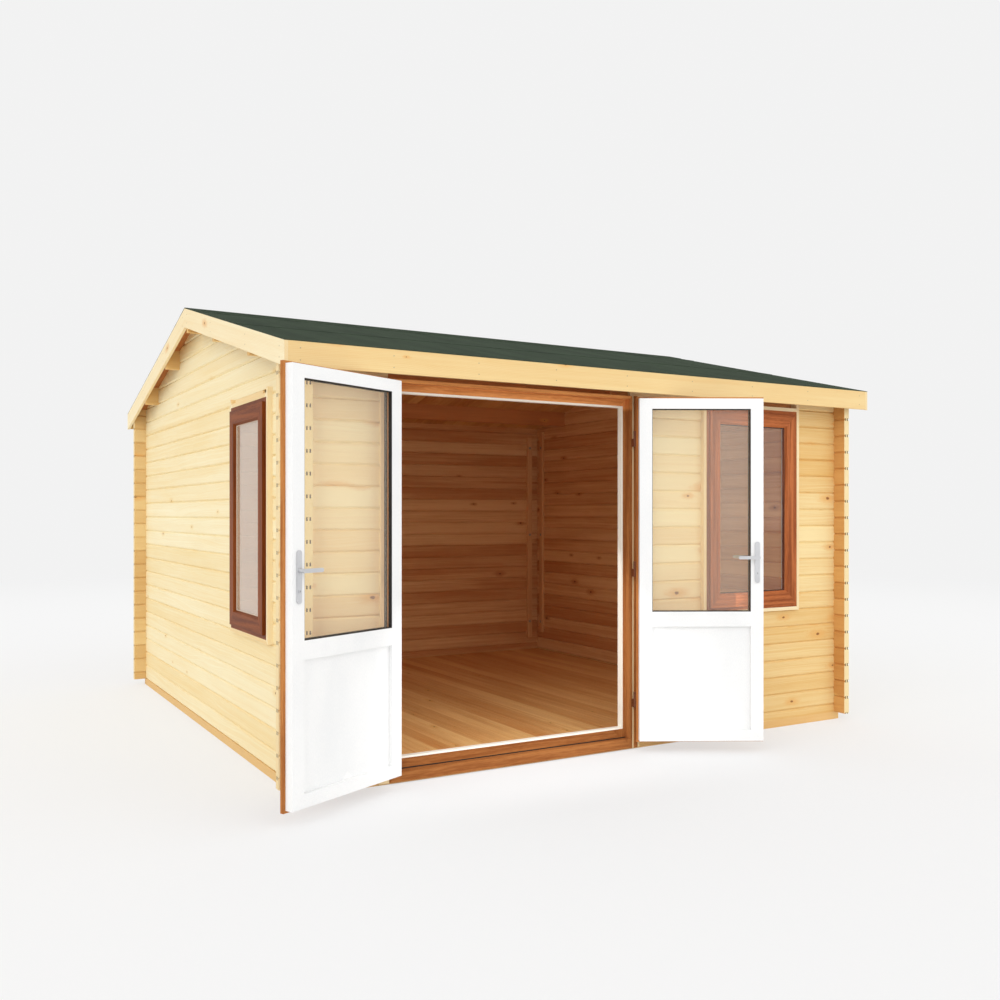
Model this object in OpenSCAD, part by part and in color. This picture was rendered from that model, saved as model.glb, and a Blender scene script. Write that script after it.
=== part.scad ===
// Square log cabin with an apex roof, a pair of outward opening glazed doors and two windows.
// Millimetres, +Z up, origin on the ground at the middle of the walls, front wall towards -Y.

/* [Plan] */
// Width over the outer faces of the side walls
cabin_w = 3820; // [3700:10:4600]
// Depth over the outer faces of the front and back walls
cabin_d = 3820; // [3600:10:4600]

/* [Logs] */
// Thickness of a wall log
log_t = 44; // [38:1:50]
// Height of one course of logs
log_h = 110; // [100:1:118]
// Length that log ends run past the corners
log_overhang = 90; // [70:5:120]
// Width of the chamfer along each log edge
log_chamfer = 9; // [5:0.5:11]
// Width of the tongue on top of a log
tongue_w = 14; // [10:1:18]
// Height of the tongue on top of a log
tongue_h = 9; // [6:0.5:12]
// Space between one course and the next
course_gap = 0.4; // [0.3:0.1:0.8]
// Clearance between pieces that seat on each other
fit = 0.3; // [0.2:0.05:0.5]

/* [Base] */
// Height of the bearers under the walls
bearer_h = 48; // [40:1:70]
// Width of the bearers under the walls
bearer_w = 60; // [56:1:80]
// Thickness of the floor
floor_t = 19; // [15:1:28]
// Width of a floor joist
joist_w = 44; // [34:1:60]
// Number of floor joists
joist_count = 9; // [5:2:13]

/* [Roof] */
// Height of the front wall over its tallest opening, up to the underside of the roof
header_h = 114; // [90:1:150]
// Slope of the roof in degrees
roof_pitch = 14; // [12:0.5:18]
// Roof overhang in front of the front wall, to the fascia's face
eaves_overhang = 150; // [130:5:220]
// Roof overhang beyond the side walls, to the barge board's face
gable_overhang = 110; // [100:5:200]
// Thickness of the roof boarding
boarding_t = 19; // [15:1:26]
// Thickness of the roofing felt
felt_t = 3; // [2:0.5:5]
// Thickness of the fascias and barge boards
trim_t = 18; // [14:1:25]
// Depth of the fascias and barge boards
trim_h = 120; // [100:1:130]
// Width of a purlin
purlin_w = 44; // [36:1:60]
// Depth of a side purlin
purlin_h = 125; // [100:1:150]
// Depth of the ridge purlin
ridge_purlin_h = 136; // [120:1:160]
// Distance of the upper side purlins from the ridge
upper_purlin_y = 664; // [560:1:760]
// Distance of the lower side purlins from the ridge
lower_purlin_y = 1395; // [1300:1:1500]

/* [Door] */
// Middle of the doorway along the front wall
door_x = -644; // [-760:1:-560]
// Width of the door frame
frame_w = 1558; // [1480:1:1640]
// Height of the underside of the door frame's sill
frame_z = 10; // [6:1:20]
// Height of the top of the door frame
frame_top = 2090; // [2040:1:2096]
// Distance that the door frame stands proud of the wall
frame_proud = 20; // [10:1:40]
// Width of the frame's outer lip
lip_w = 18; // [14:1:26]
// Height of the sill's outer lip
sill_lip_h = 55; // [40:1:70]
// Width of the side upstands that the leaves close against
upstand_w = 28; // [24:1:48]
// Depth of the upstand at the head
head_upstand_h = 50; // [30:1:60]
// Height of the upstand over the sill
sill_upstand_h = 64; // [50:1:90]
// Thickness of the upstand
upstand_t = 36; // [24:1:44]
// Width of the boards beside the door frame
door_casing_w = 56; // [40:1:70]
// Thickness of the boards beside the door frame
door_casing_t = 16; // [12:1:18]
// Height of the open slot above the door frame and the windows
settling_gap = 30; // [20:1:40]
// Working clearance round the door leaves
leaf_gap = 6; // [5.5:0.5:8]
// Distance of the leaves' meeting line from the middle of the doorway
meet_shift = 16; // [0:1:24]
// Thickness of a leaf's body
leaf_body_t = 44; // [36:1:56]
// Thickness of a leaf's outer flange
flange_t = 20; // [16:1:26]
// Width by which the flange stands past the leaf's body
flange_w = 12; // [10:1:16]
// Width of a leaf's stiles
stile_w = 74; // [60:1:95]
// Depth of a leaf's top rail
top_rail_h = 61; // [50:1:90]
// Depth of a leaf's bottom rail
bottom_rail_h = 64; // [50:1:100]
// Height of the middle of a leaf's cross rail
cross_rail_z = 781; // [700:1:900]
// Depth of a leaf's cross rail
cross_rail_h = 87; // [60:1:110]
// Angle by which the left leaf stands open
left_open = 154; // [110:1:160]
// Angle by which the right leaf stands open
right_open = 151; // [110:1:160]

/* [Glazing] */
// Thickness of the sealed glass units and panels
pane_t = 24; // [18:1:28]
// Depth by which a pane is let into its frame
pane_bite = 12; // [8:1:18]
// Width of the bevelled bead round a window pane
bead_w = 12; // [6:0.5:16]
// Depth of the straight land between a pane and the foot of its bead
bead_land = 4; // [2:0.5:8]

/* [Hinges] */
// Radius of a hinge knuckle
knuckle_r = 7; // [6:0.5:8]
// Height of one hinge
hinge_h = 90; // [70:1:110]
// Width of a hinge plate on the leaf
hinge_plate_w = 40; // [30:1:60]
// Thickness of a hinge plate
hinge_plate_t = 4; // [3:0.5:5]
// Distance of the outer hinges from the ends of the leaf
hinge_end = 230; // [180:1:320]

/* [Handles] */
// Height of the lever's turning axis
lever_z = 1140; // [1000:1:1250]
// Width of a handle's backplate
plate_w = 28; // [24:1:34]
// Height of a handle's backplate
plate_h = 240; // [200:1:280]
// Thickness of a handle's backplate
plate_t = 8; // [6:0.5:10]
// Distance of the lever's axis below the top of its backplate
plate_above = 92; // [70:1:110]
// Length of a lever from its axis
lever_l = 118; // [100:1:135]
// Height of a lever's bar
lever_h = 19; // [15:1:24]
// Thickness of a lever's bar
lever_t = 12; // [9:0.5:15]
// Length of the lever's neck
neck_l = 34; // [28:1:44]
// Radius of the lever's neck
neck_r = 9; // [7:0.5:10]
// Radius of the lock cylinder below the lever
lock_r = 8.5; // [7:0.5:10]
// Distance that the lock cylinder stands proud of its backplate
lock_proud = 4; // [2:0.5:8]
// Distance of the lock cylinder below the lever's axis
lock_drop = 92; // [70:1:110]

/* [Windows] */
// Middle of the front window along the front wall
front_window_x = 1095; // [1000:1:1120]
// Middle of the side window along the left wall
side_window_y = -1157; // [-1180:1:-1000]
// Width of the front window's frame
front_window_w = 780; // [680:1:800]
// Width of the side window's frame
side_window_w = 684; // [620:1:740]
// Height of a window's frame
window_h = 1278; // [1200:1:1290]
// Number of whole courses below a window
sill_courses = 6; // [5:1:6]
// Thickness of the timber casing round a window
casing_t = 22; // [16:1:28]
// Distance that the casing stands proud of the wall
casing_proud = 27; // [15:1:40]
// Width of the window's outer frame
window_frame_w = 22; // [16:1:36]
// Depth of the window's outer frame
window_frame_d = 70; // [56:1:71]
// Width of the window's sash
sash_w = 88; // [60:1:100]
// Depth of the window's sash
sash_d = 64; // [50:1:70]
// Distance that the sash stands proud of its frame
sash_proud = 15; // [8:1:24]

/* [Storm battens] */
// Width of a storm batten
batten_w = 50; // [40:1:70]
// Thickness of a storm batten
batten_t = 25; // [18:1:35]
// Distance of a storm batten from the inner corner
batten_in = 103; // [70:1:160]
// Distance that a storm batten stays clear of the floor
batten_up = 114; // [80:1:180]
// Distance from the top of a storm batten on the back wall up to the eaves
batten_down = 80; // [40:1:140]

/* [Hidden] */
$fn = 48;
half_w = cabin_w / 2;
half_d = cabin_d / 2;
inner_w = half_w - log_t;
inner_d = half_d - log_t;
side_wall_x = half_w - log_t / 2;
front_wall_y = half_d - log_t / 2;
end_x = half_w + log_overhang;
end_y = half_d + log_overhang;

// Courses: side walls start with a whole log, front and back walls with half a log
starter_h = log_h / 2;
side_z = bearer_h + fit;
front_z = side_z + starter_h;
notch_w = log_t + 2 * fit;
notch_h = log_h / 4 + course_gap / 2;

// Openings, with the windows cut out of the walls from the top of a course
door_cut_top = frame_top + settling_gap;
front_cut_half = front_window_w / 2 + casing_t + 2 * fit;
side_cut_half = side_window_w / 2 + casing_t + 2 * fit;
window_cut_h = window_h + 2 * casing_t + 2 * fit + settling_gap;
front_sill_z = front_z + sill_courses * log_h;
side_sill_z = side_z + sill_courses * log_h;
front_cut_top = front_sill_z + window_cut_h;
side_cut_top = side_sill_z + window_cut_h;

// Roof planes: height of the underside at a distance y from the ridge
slope = tan(roof_pitch);
eaves_z = max(door_cut_top, front_cut_top, side_cut_top) + header_h;
ridge_z = eaves_z + slope * half_d;
boarding_v = boarding_t / cos(roof_pitch);
felt_v = felt_t / cos(roof_pitch);
barge_v = trim_h / cos(roof_pitch);
roof_x = half_w + gable_overhang;
roof_y = half_d + eaves_overhang;
roof_inner_x = roof_x - trim_t - fit;
roof_inner_y = roof_y - trim_t - fit;
purlin_ys = [-lower_purlin_y, -upper_purlin_y, 0, upper_purlin_y, lower_purlin_y];

function under_z(y) = ridge_z - slope * abs(y);
function deck_z(y) = under_z(y) + boarding_v;
function purlin_depth(y) = y == 0 ? ridge_purlin_h : purlin_h;
function purlin_z(y) = under_z(y) - purlin_depth(y);

// Course counts
side_full = floor((eaves_z - slope * log_overhang - side_z) / log_h);
side_cut = floor((under_z(inner_d) - side_z) / log_h) + 1;
gable_last = floor((ridge_z - side_z) / log_h) - 1;
front_full = floor((eaves_z - front_z) / log_h);

// Doorway
frame_front = -half_d - frame_proud;
frame_half = frame_w / 2;
lip_half = frame_half - lip_w;
lip_bottom = frame_z + sill_lip_h;
lip_top = frame_top - lip_w;
leaf_back = frame_front - leaf_gap + leaf_body_t;
upstand_front = leaf_back + leaf_gap;
frame_back = upstand_front + upstand_t;
door_cut_half = frame_half + fit;

// Door leaves, measured from the middle of the doorway while closed
body_hinge_x = lip_half - leaf_gap;
body_bottom = lip_bottom + leaf_gap;
body_top = lip_top - leaf_gap;
flange_back = frame_front - leaf_gap;
flange_front = flange_back - flange_t;
hinge_x = body_hinge_x + flange_w + leaf_gap;
hinge_y = flange_front - leaf_gap;
glass_x1 = body_hinge_x - stile_w;
glass_z0 = cross_rail_z + cross_rail_h / 2;
glass_z1 = body_top - top_rail_h;
panel_z0 = body_bottom + bottom_rail_h;
panel_z1 = cross_rail_z - cross_rail_h / 2;
pane_y = (flange_front + leaf_back) / 2;
hinge_zs = [body_bottom + hinge_end, (body_bottom + body_top) / 2, body_top - hinge_end];

// Edges and lever of a leaf whose meeting line is moved by m towards its hinges
function meet_x(m) = leaf_gap / 2 + flange_w + m;
function glass_x0(m) = meet_x(m) + stile_w;
function lever_x(m) = meet_x(m) + stile_w / 2;

// Courses cut by the openings
front_top_course = floor((min(door_cut_top, front_cut_top) - front_z) / log_h);
side_top_course = floor((side_cut_top - side_z) / log_h);
casing_d = log_t + casing_proud;

pine = [0.93, 0.81, 0.58];
shaded_pine = [0.80, 0.62, 0.38];
oak_foil = [0.60, 0.33, 0.17];
white = [0.97, 0.97, 0.96];
silver = [0.75, 0.76, 0.78];
glass_tint = [0.75, 0.82, 0.84, 0.4];
felt_green = [0.26, 0.31, 0.25];

// A box from its lowest to its highest corner
module span(low, high) {
    translate(low) cube(high - low);
}

// A profile in the plane of thickness and height, run along X from a to b
module run_x(a, b) {
    translate([a, 0, 0]) rotate([90, 0, 90]) linear_extrude(b - a) children();
}

// Log section: chamfered edges, a groove below and a tongue on top
module log_section(h, groove, tongue) {
    a = log_t / 2;
    c = log_chamfer;
    top = h - course_gap;
    groove_a = tongue_w / 2 + fit;
    groove_h = tongue_h + fit;
    foot = groove ? [[a, c], [a - c, 0], [groove_a, 0], [groove_a, groove_h],
        [-groove_a, groove_h], [-groove_a, 0], [c - a, 0], [-a, c]] : [[a, 0], [-a, 0]];
    crown = tongue ? [[-a, top - c], [c - a, top], [-tongue_w / 2, top],
        [-tongue_w / 2, top + tongue_h], [tongue_w / 2, top + tongue_h], [tongue_w / 2, top],
        [a - c, top], [a, top - c]] : [[-a, top], [a, top]];
    polygon(concat(foot, crown));
}

// One log along X from a to b, notched where it crosses the two walls at -cross and +cross
module log_run(a, b, z, h, cross, groove = true, tongue = true) {
    difference() {
        translate([0, 0, z]) run_x(a, b) log_section(h, groove, tongue);
        for (s = [-1, 1]) {
            x = s * cross;
            if (a < x && b > x) {
                span([x - notch_w / 2, -log_t, z + h - course_gap / 2 - notch_h],
                    [x + notch_w / 2, log_t, z + h + log_h]);
                if (groove) span([x - notch_w / 2, -log_t, z - log_h],
                    [x + notch_w / 2, log_t, z - course_gap / 2 + notch_h]);
            }
        }
    }
}

// Logs of the front and back walls, courses first to last, between a and b
module front_logs(a, b, first, last) {
    for (j = [first : 1 : last]) log_run(a, b, front_z + j * log_h, log_h, side_wall_x);
}

module starter_log(a, b) {
    log_run(a, b, side_z, starter_h, side_wall_x, groove = false);
}

// The log under the eaves, cut to the slope of the roof
module eaves_log(y) {
    intersection() {
        translate([0, y, 0])
            log_run(-end_x, end_x, front_z + front_full * log_h, log_h, side_wall_x, tongue = false);
        under_roof();
    }
}

// Logs of a side wall, courses first to last, between a and b along Y
module side_logs(x, a, b, first, last) {
    translate([x, 0, 0]) rotate([0, 0, 90])
        for (k = [first : 1 : last]) log_run(a, b, side_z + k * log_h, log_h, front_wall_y);
}

// Everything below the two roof planes
module under_roof() {
    reach = roof_y + log_h;
    run_x(-roof_x, roof_x)
        polygon([[0, ridge_z - fit], [-reach, under_z(reach) - fit], [-reach, 0], [reach, 0],
            [reach, under_z(reach) - fit]]);
}

// Housings for the purlins in the logs of one side
module purlin_housings(x) {
    for (y = purlin_ys)
        span([x - log_t, y - purlin_w / 2 - fit, purlin_z(y) - fit],
            [x + log_t, y + purlin_w / 2 + fit, ridge_z]);
}

// Side wall logs that meet the slope, up to the foot of the gable
module side_eaves_logs(x) {
    difference() {
        intersection() {
            side_logs(x, -end_y, end_y, side_full, side_cut - 1);
            under_roof();
        }
        purlin_housings(x);
    }
}

// Gable logs, cut to the slope and housed round the purlins
module gable_logs(x) {
    difference() {
        intersection() {
            translate([x, 0, 0]) rotate([0, 0, 90])
                for (k = [side_cut : 1 : gable_last]) {
                    z = side_z + k * log_h;
                    tip = min((ridge_z - z) / slope, inner_d);
                    if (k < gable_last) log_run(-tip, tip, z, log_h, front_wall_y);
                    else log_run(-tip, tip, z, ridge_z - z + log_h, front_wall_y, tongue = false);
                }
            under_roof();
        }
        purlin_housings(x);
    }
}

// Cut-outs in the front wall for the doorway and the window
module front_cuts() {
    span([door_x - door_cut_half, -end_y, 0], [door_x + door_cut_half, 0, door_cut_top]);
    span([front_window_x - front_cut_half, -end_y, front_sill_z],
        [front_window_x + front_cut_half, 0, front_cut_top]);
}

module side_cut_out() {
    span([-end_x, side_window_y - side_cut_half, side_sill_z],
        [0, side_window_y + side_cut_half, side_cut_top]);
}

module ground_bearers() {
    color(pine) {
        difference() {
            span([-half_w, -half_d, 0], [half_w, -half_d + bearer_w, bearer_h]);
            span([door_x - door_cut_half, -end_y, frame_z - fit],
                [door_x + door_cut_half, 0, bearer_h + log_h]);
        }
        span([-half_w, half_d - bearer_w, 0], [half_w, half_d, bearer_h]);
        for (s = [-1, 1]) {
            x = s > 0 ? half_w - bearer_w : -half_w;
            span([x, bearer_w + fit - half_d, 0], [x + bearer_w, half_d - bearer_w - fit, bearer_h]);
        }
    }
}

module floor_joists() {
    reach_x = half_w - bearer_w - fit;
    reach_y = half_d - bearer_w - fit - joist_w / 2;
    step = 2 * reach_y / (joist_count - 1);
    color(shaded_pine)
        for (i = [0 : joist_count - 1]) {
            y = i * step - reach_y;
            span([-reach_x, y - joist_w / 2, 0], [reach_x, y + joist_w / 2, bearer_h - floor_t - fit]);
        }
}

module floor_deck() {
    x = half_w - bearer_w - fit;
    back = half_d - bearer_w - fit;
    color(shaded_pine)
        difference() {
            span([-x, -back, bearer_h - floor_t], [x, back, bearer_h]);
            span([door_x - door_cut_half, -end_y, 0],
                [door_x + door_cut_half, frame_back + fit, frame_top]);
        }
}

module front_wall_left() {
    end = door_x - door_cut_half;
    color(pine) translate([0, -front_wall_y, 0]) {
        starter_log(-end_x, end);
        front_logs(-end_x, end, 0, front_top_course - 1);
    }
}

module front_wall_under_window() {
    start = door_x + door_cut_half;
    color(pine)
        difference() {
            translate([0, -front_wall_y, 0]) {
                starter_log(start, end_x);
                front_logs(start, end_x, 0, sill_courses - 1);
            }
            front_cuts();
        }
}

module front_wall_between() {
    color(pine) translate([0, -front_wall_y, 0])
        front_logs(door_x + door_cut_half, front_window_x - front_cut_half,
            sill_courses, front_top_course - 1);
}

module front_wall_right() {
    color(pine) translate([0, -front_wall_y, 0])
        front_logs(front_window_x + front_cut_half, end_x, sill_courses, front_top_course - 1);
}

module front_wall_top() {
    color(pine)
        difference() {
            union() {
                translate([0, -front_wall_y, 0])
                    front_logs(-end_x, end_x, front_top_course, front_full - 1);
                eaves_log(-front_wall_y);
            }
            front_cuts();
        }
}

module left_wall_under_window() {
    color(pine)
        difference() {
            side_logs(-side_wall_x, -end_y, end_y, 0, sill_courses - 1);
            side_cut_out();
        }
}

module left_wall_front() {
    color(pine)
        side_logs(-side_wall_x, -end_y, side_window_y - side_cut_half,
            sill_courses, side_top_course - 1);
}

module left_wall_rear() {
    color(pine)
        side_logs(-side_wall_x, side_window_y + side_cut_half, end_y,
            sill_courses, side_top_course - 1);
}

module left_wall_top() {
    color(pine)
        difference() {
            union() {
                side_logs(-side_wall_x, -end_y, end_y, side_top_course, side_full - 1);
                side_eaves_logs(-side_wall_x);
            }
            side_cut_out();
        }
}

module left_gable() {
    color(pine) gable_logs(-side_wall_x);
}

module right_wall() {
    color(pine) {
        side_logs(side_wall_x, -end_y, end_y, 0, side_full - 1);
        side_eaves_logs(side_wall_x);
    }
}

module right_gable() {
    color(pine) gable_logs(side_wall_x);
}

module back_wall() {
    color(pine) {
        translate([0, front_wall_y, 0]) {
            starter_log(-end_x, end_x);
            front_logs(-end_x, end_x, 0, front_full - 1);
        }
        eaves_log(front_wall_y);
    }
}

module purlins() {
    color(shaded_pine)
        intersection() {
            for (y = purlin_ys)
                span([-roof_inner_x, y - purlin_w / 2, purlin_z(y)],
                    [roof_inner_x, y + purlin_w / 2, ridge_z]);
            under_roof();
        }
}

// A sheet on the front slope, between two distances from the ridge and two heights over the roof planes
module roof_sheet(x, near, far, low, high) {
    run_x(-x, x)
        polygon([[-near, under_z(near) + low], [-far, under_z(far) + low],
            [-far, under_z(far) + high], [-near, under_z(near) + high]]);
}

module front_roof_deck() {
    color(shaded_pine) roof_sheet(roof_inner_x, fit, roof_inner_y, 0, boarding_v);
}

module rear_roof_deck() {
    mirror([0, 1, 0]) front_roof_deck();
}

module front_roof_felt() {
    color(felt_green) roof_sheet(roof_x, fit, roof_y, boarding_v + fit, boarding_v + fit + felt_v);
}

module rear_roof_felt() {
    mirror([0, 1, 0]) front_roof_felt();
}

module front_fascia() {
    inner = roof_y - trim_t;
    low = deck_z(roof_y) - trim_h;
    color(pine) run_x(-roof_inner_x, roof_inner_x)
        polygon([[-roof_y, low], [-inner, low], [-inner, deck_z(inner)], [-roof_y, deck_z(roof_y)]]);
}

module rear_fascia() {
    mirror([0, 1, 0]) front_fascia();
}

// The two boards of one gable, cut plumb at the ridge and the eaves
module barge_pair() {
    for (m = [0, 1]) mirror([0, m, 0])
        run_x(roof_x - trim_t, roof_x)
            polygon([[-fit, deck_z(fit)], [-roof_y, deck_z(roof_y)],
                [-roof_y, deck_z(roof_y) - barge_v], [-fit, deck_z(fit) - barge_v]]);
}

module left_barge_boards() {
    color(pine) mirror([1, 0, 0]) barge_pair();
}

module right_barge_boards() {
    color(pine) barge_pair();
}

// Door frame: outer lip, rebate for the leaves and upstand
module door_frame() {
    inner_half = lip_half - upstand_w;
    color(oak_foil) translate([door_x, 0, 0])
        difference() {
            span([-frame_half, frame_front, frame_z], [frame_half, frame_back, frame_top]);
            span([-lip_half, frame_front - lip_w, lip_bottom], [lip_half, upstand_front, lip_top]);
            span([-inner_half, frame_front - lip_w, lip_bottom + sill_upstand_h],
                [inner_half, frame_back + lip_w, lip_top - head_upstand_h]);
        }
}

// Upright boards that cover the log ends on both sides of the door frame
module door_casing() {
    back = -half_d - fit;
    color(pine) translate([door_x, 0, 0])
        for (m = [0, 1]) mirror([m, 0, 0])
            span([door_cut_half, back - door_casing_t, frame_z],
                [door_cut_half + door_casing_w, back, frame_top]);
}

// Places a shape drawn for the closed right leaf at its open position
module right_place() {
    translate([door_x + hinge_x, hinge_y, 0]) rotate([0, 0, right_open])
        translate([-hinge_x, -hinge_y, 0]) children();
}

// Places a shape drawn for the closed right leaf as the open left leaf
module left_place() {
    translate([door_x - hinge_x, hinge_y, 0]) rotate([0, 0, -left_open])
        translate([hinge_x, -hinge_y, 0]) mirror([1, 0, 0]) children();
}

module leaf_sash(m) {
    bottom = body_bottom - flange_w;
    top = body_top + flange_w;
    difference() {
        union() {
            span([meet_x(m), flange_back, body_bottom], [body_hinge_x, leaf_back, body_top]);
            span([meet_x(m) - flange_w, flange_front, bottom],
                [body_hinge_x + flange_w, flange_back, top]);
        }
        for (z = [[glass_z0, glass_z1], [panel_z0, panel_z1]]) {
            span([glass_x0(m), flange_front - flange_t, z[0]], [glass_x1, leaf_back + flange_t, z[1]]);
            pane_pocket(m, z[0], z[1], fit);
        }
    }
}

// A cut round an opening that widens from y0, near the pane, by the bead's width at the face y1
module bead_cut(x0, x1, z0, z1, y0, y1) {
    w = 2 * bead_w;
    past = 2 * y1 - y0;
    intersection() {
        translate([0, 0, z0 - w]) linear_extrude(z1 - z0 + 2 * w)
            polygon([[x0, y0], [x1, y0], [x1 + w, past], [x0 - w, past]]);
        run_x(x0 - w, x1 + w)
            polygon([[y0, z0], [y0, z1], [past, z1 + w], [past, z0 - w]]);
    }
}

// The space that a pane fills, let into the leaf all round
module pane_pocket(m, z0, z1, clearance) {
    b = pane_bite + clearance;
    t = pane_t / 2 + clearance;
    span([glass_x0(m) - b, pane_y - t, z0 - b], [glass_x1 + b, pane_y + t, z1 + b]);
}

module leaf_glass(m) {
    pane_pocket(m, glass_z0, glass_z1, 0);
}

module leaf_panel(m) {
    pane_pocket(m, panel_z0, panel_z1, 0);
}

// Upper half of each hinge, with its plate on the leaf's outer face
module leaf_hinges() {
    back = flange_front - fit;
    for (z = hinge_zs) {
        translate([hinge_x, hinge_y, z + fit]) cylinder(r = knuckle_r, h = hinge_h / 2 - fit);
        span([hinge_x - leaf_gap - hinge_plate_w, back - hinge_plate_t, z + fit],
            [hinge_x, back, z + hinge_h / 2]);
    }
}

// Lower half of each hinge, with its bracket back to the frame's lip
module frame_hinges() {
    for (z = hinge_zs) {
        translate([hinge_x, hinge_y, z - hinge_h / 2]) cylinder(r = knuckle_r, h = hinge_h / 2);
        span([hinge_x, hinge_y, z - hinge_h / 2], [frame_half, frame_front - fit, z]);
    }
}

module hinge_brackets() {
    color(oak_foil) translate([door_x, 0, 0])
        for (m = [0, 1]) mirror([m, 0, 0]) frame_hinges();
}

// A bar with round ends, standing upright, out from the face in the direction s
module backplate(x, y, s) {
    low = lever_z + plate_above - plate_h + plate_w / 2;
    high = lever_z + plate_above - plate_w / 2;
    near = min(y, y + s * plate_t);
    translate([x, near, 0]) {
        span([-plate_w / 2, 0, low], [plate_w / 2, plate_t, high]);
        for (z = [low, high]) translate([0, plate_t, z]) rotate([90, 0, 0])
            cylinder(d = plate_w, h = plate_t);
        translate([0, s > 0 ? plate_t + lock_proud : plate_t / 2, lever_z - lock_drop])
            rotate([90, 0, 0]) cylinder(r = lock_r, h = plate_t / 2 + lock_proud);
    }
}

module leaf_plates(m) {
    backplate(lever_x(m), leaf_back + fit, 1);
    backplate(lever_x(m), flange_front - fit, -1);
}

// Lever on one face: a neck and a bar with round ends that points to the hinges
module lever(x, y, s) {
    base = y + s * (plate_t + 2 * fit);
    far = base + s * neck_l;
    y0 = min(base, far);
    bar_y = s > 0 ? far - lever_t : far;
    translate([x, y0 + neck_l, lever_z]) rotate([90, 0, 0]) cylinder(r = neck_r, h = neck_l);
    span([x, bar_y, lever_z - lever_h / 2],
        [x + lever_l - lever_h / 2, bar_y + lever_t, lever_z + lever_h / 2]);
    for (along = [0, lever_l - lever_h / 2])
        translate([x + along, bar_y + lever_t, lever_z]) rotate([90, 0, 0])
            cylinder(d = lever_h, h = lever_t);
}

module leaf_levers(m) {
    lever(lever_x(m), leaf_back, 1);
    lever(lever_x(m), flange_front, -1);
}

module left_leaf_sash() { color(white) left_place() leaf_sash(-meet_shift); }
module left_leaf_glass() { color(glass_tint) left_place() leaf_glass(-meet_shift); }
module left_leaf_panel() { color(white) left_place() leaf_panel(-meet_shift); }
module left_leaf_hinges() { color(oak_foil) left_place() leaf_hinges(); }
module left_leaf_plates() { color(silver) left_place() leaf_plates(-meet_shift); }
module left_levers() { color(silver) left_place() leaf_levers(-meet_shift); }
module right_leaf_sash() { color(white) right_place() leaf_sash(meet_shift); }
module right_leaf_glass() { color(glass_tint) right_place() leaf_glass(meet_shift); }
module right_leaf_panel() { color(white) right_place() leaf_panel(meet_shift); }
module right_leaf_hinges() { color(oak_foil) right_place() leaf_hinges(); }
module right_leaf_plates() { color(silver) right_place() leaf_plates(meet_shift); }
module right_levers() { color(silver) right_place() leaf_levers(meet_shift); }

// Windows are drawn about the middle of their cut-out's lower edge, at the wall's outer face
module front_window_place() {
    translate([front_window_x, -half_d, front_sill_z]) children();
}

module left_window_place() {
    translate([-half_w, side_window_y, side_sill_z]) rotate([0, 0, -90]) children();
}

// A ring between an outer rectangle and one that is smaller by w all round
module ring(half, low, high, w, front, back) {
    difference() {
        span([-half, front, low], [half, back, high]);
        span([w - half, front - w, low + w], [half - w, back + w, high - w]);
    }
}

// Timber casing: two side boards over the full cut, a sill board and a head board between them
module window_casing(w) {
    inner = w / 2 + fit;
    top = casing_t + window_h + 3 * fit;
    color(pine) {
        for (s = [-1, 1]) {
            x = s > 0 ? inner : -inner - casing_t;
            span([x, -casing_proud, fit], [x + casing_t, log_t, window_cut_h - fit]);
        }
        for (z = [fit, top])
            span([fit - inner, -casing_proud, z], [inner - fit, log_t, z + casing_t]);
    }
}

frame_low = casing_t + 2 * fit;
sash_low = frame_low + window_frame_w + fit;
sash_high = frame_low + window_h - window_frame_w - fit;

function sash_half(w) = w / 2 - window_frame_w - fit;

module window_frame(w) {
    color(oak_foil)
        ring(w / 2, frame_low, frame_low + window_h, window_frame_w,
            -casing_proud, window_frame_d - casing_proud);
}

module window_sash(w) {
    front = -casing_proud - sash_proud;
    middle = front + sash_d / 2;
    half = sash_half(w) - sash_w;
    color(oak_foil)
        difference() {
            ring(sash_half(w), sash_low, sash_high, sash_w, front, front + sash_d);
            window_pane(w, fit);
            for (s = [-1, 1])
                bead_cut(-half, half, sash_low + sash_w, sash_high - sash_w,
                    middle + s * (pane_t / 2 + bead_land), middle + s * sash_d / 2);
        }
}

// The sealed unit, let into the sash all round
module window_pane(w, clearance) {
    half = sash_half(w) - sash_w + pane_bite + clearance;
    inset = sash_w - pane_bite - clearance;
    middle = sash_d / 2 - casing_proud - sash_proud;
    t = pane_t / 2 + clearance;
    span([-half, middle - t, sash_low + inset], [half, middle + t, sash_high - inset]);
}

module window_glass(w) {
    color(glass_tint) window_pane(w, 0);
}

module front_window_casing() { front_window_place() window_casing(front_window_w); }
module front_window_frame() { front_window_place() window_frame(front_window_w); }
module front_window_sash() { front_window_place() window_sash(front_window_w); }
module front_window_glass() { front_window_place() window_glass(front_window_w); }
module left_window_casing() { left_window_place() window_casing(side_window_w); }
module left_window_frame() { left_window_place() window_frame(side_window_w); }
module left_window_sash() { left_window_place() window_sash(side_window_w); }
module left_window_glass() { left_window_place() window_glass(side_window_w); }

// Upright battens that tie the courses together beside the two rear corners
module storm_battens() {
    back_low = bearer_h + batten_up;
    side_low = back_low + starter_h;
    batten_l = eaves_z - batten_down - back_low;
    wall_y = inner_d - fit;
    wall_x = inner_w - fit;
    color(shaded_pine)
        for (m = [0, 1]) mirror([m, 0, 0]) {
            span([inner_w - batten_in - batten_w / 2, wall_y - batten_t, back_low],
                [inner_w - batten_in + batten_w / 2, wall_y, back_low + batten_l]);
            span([wall_x - batten_t, inner_d - batten_in - batten_w / 2, side_low],
                [wall_x, inner_d - batten_in + batten_w / 2, side_low + batten_l]);
        }
}

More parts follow.
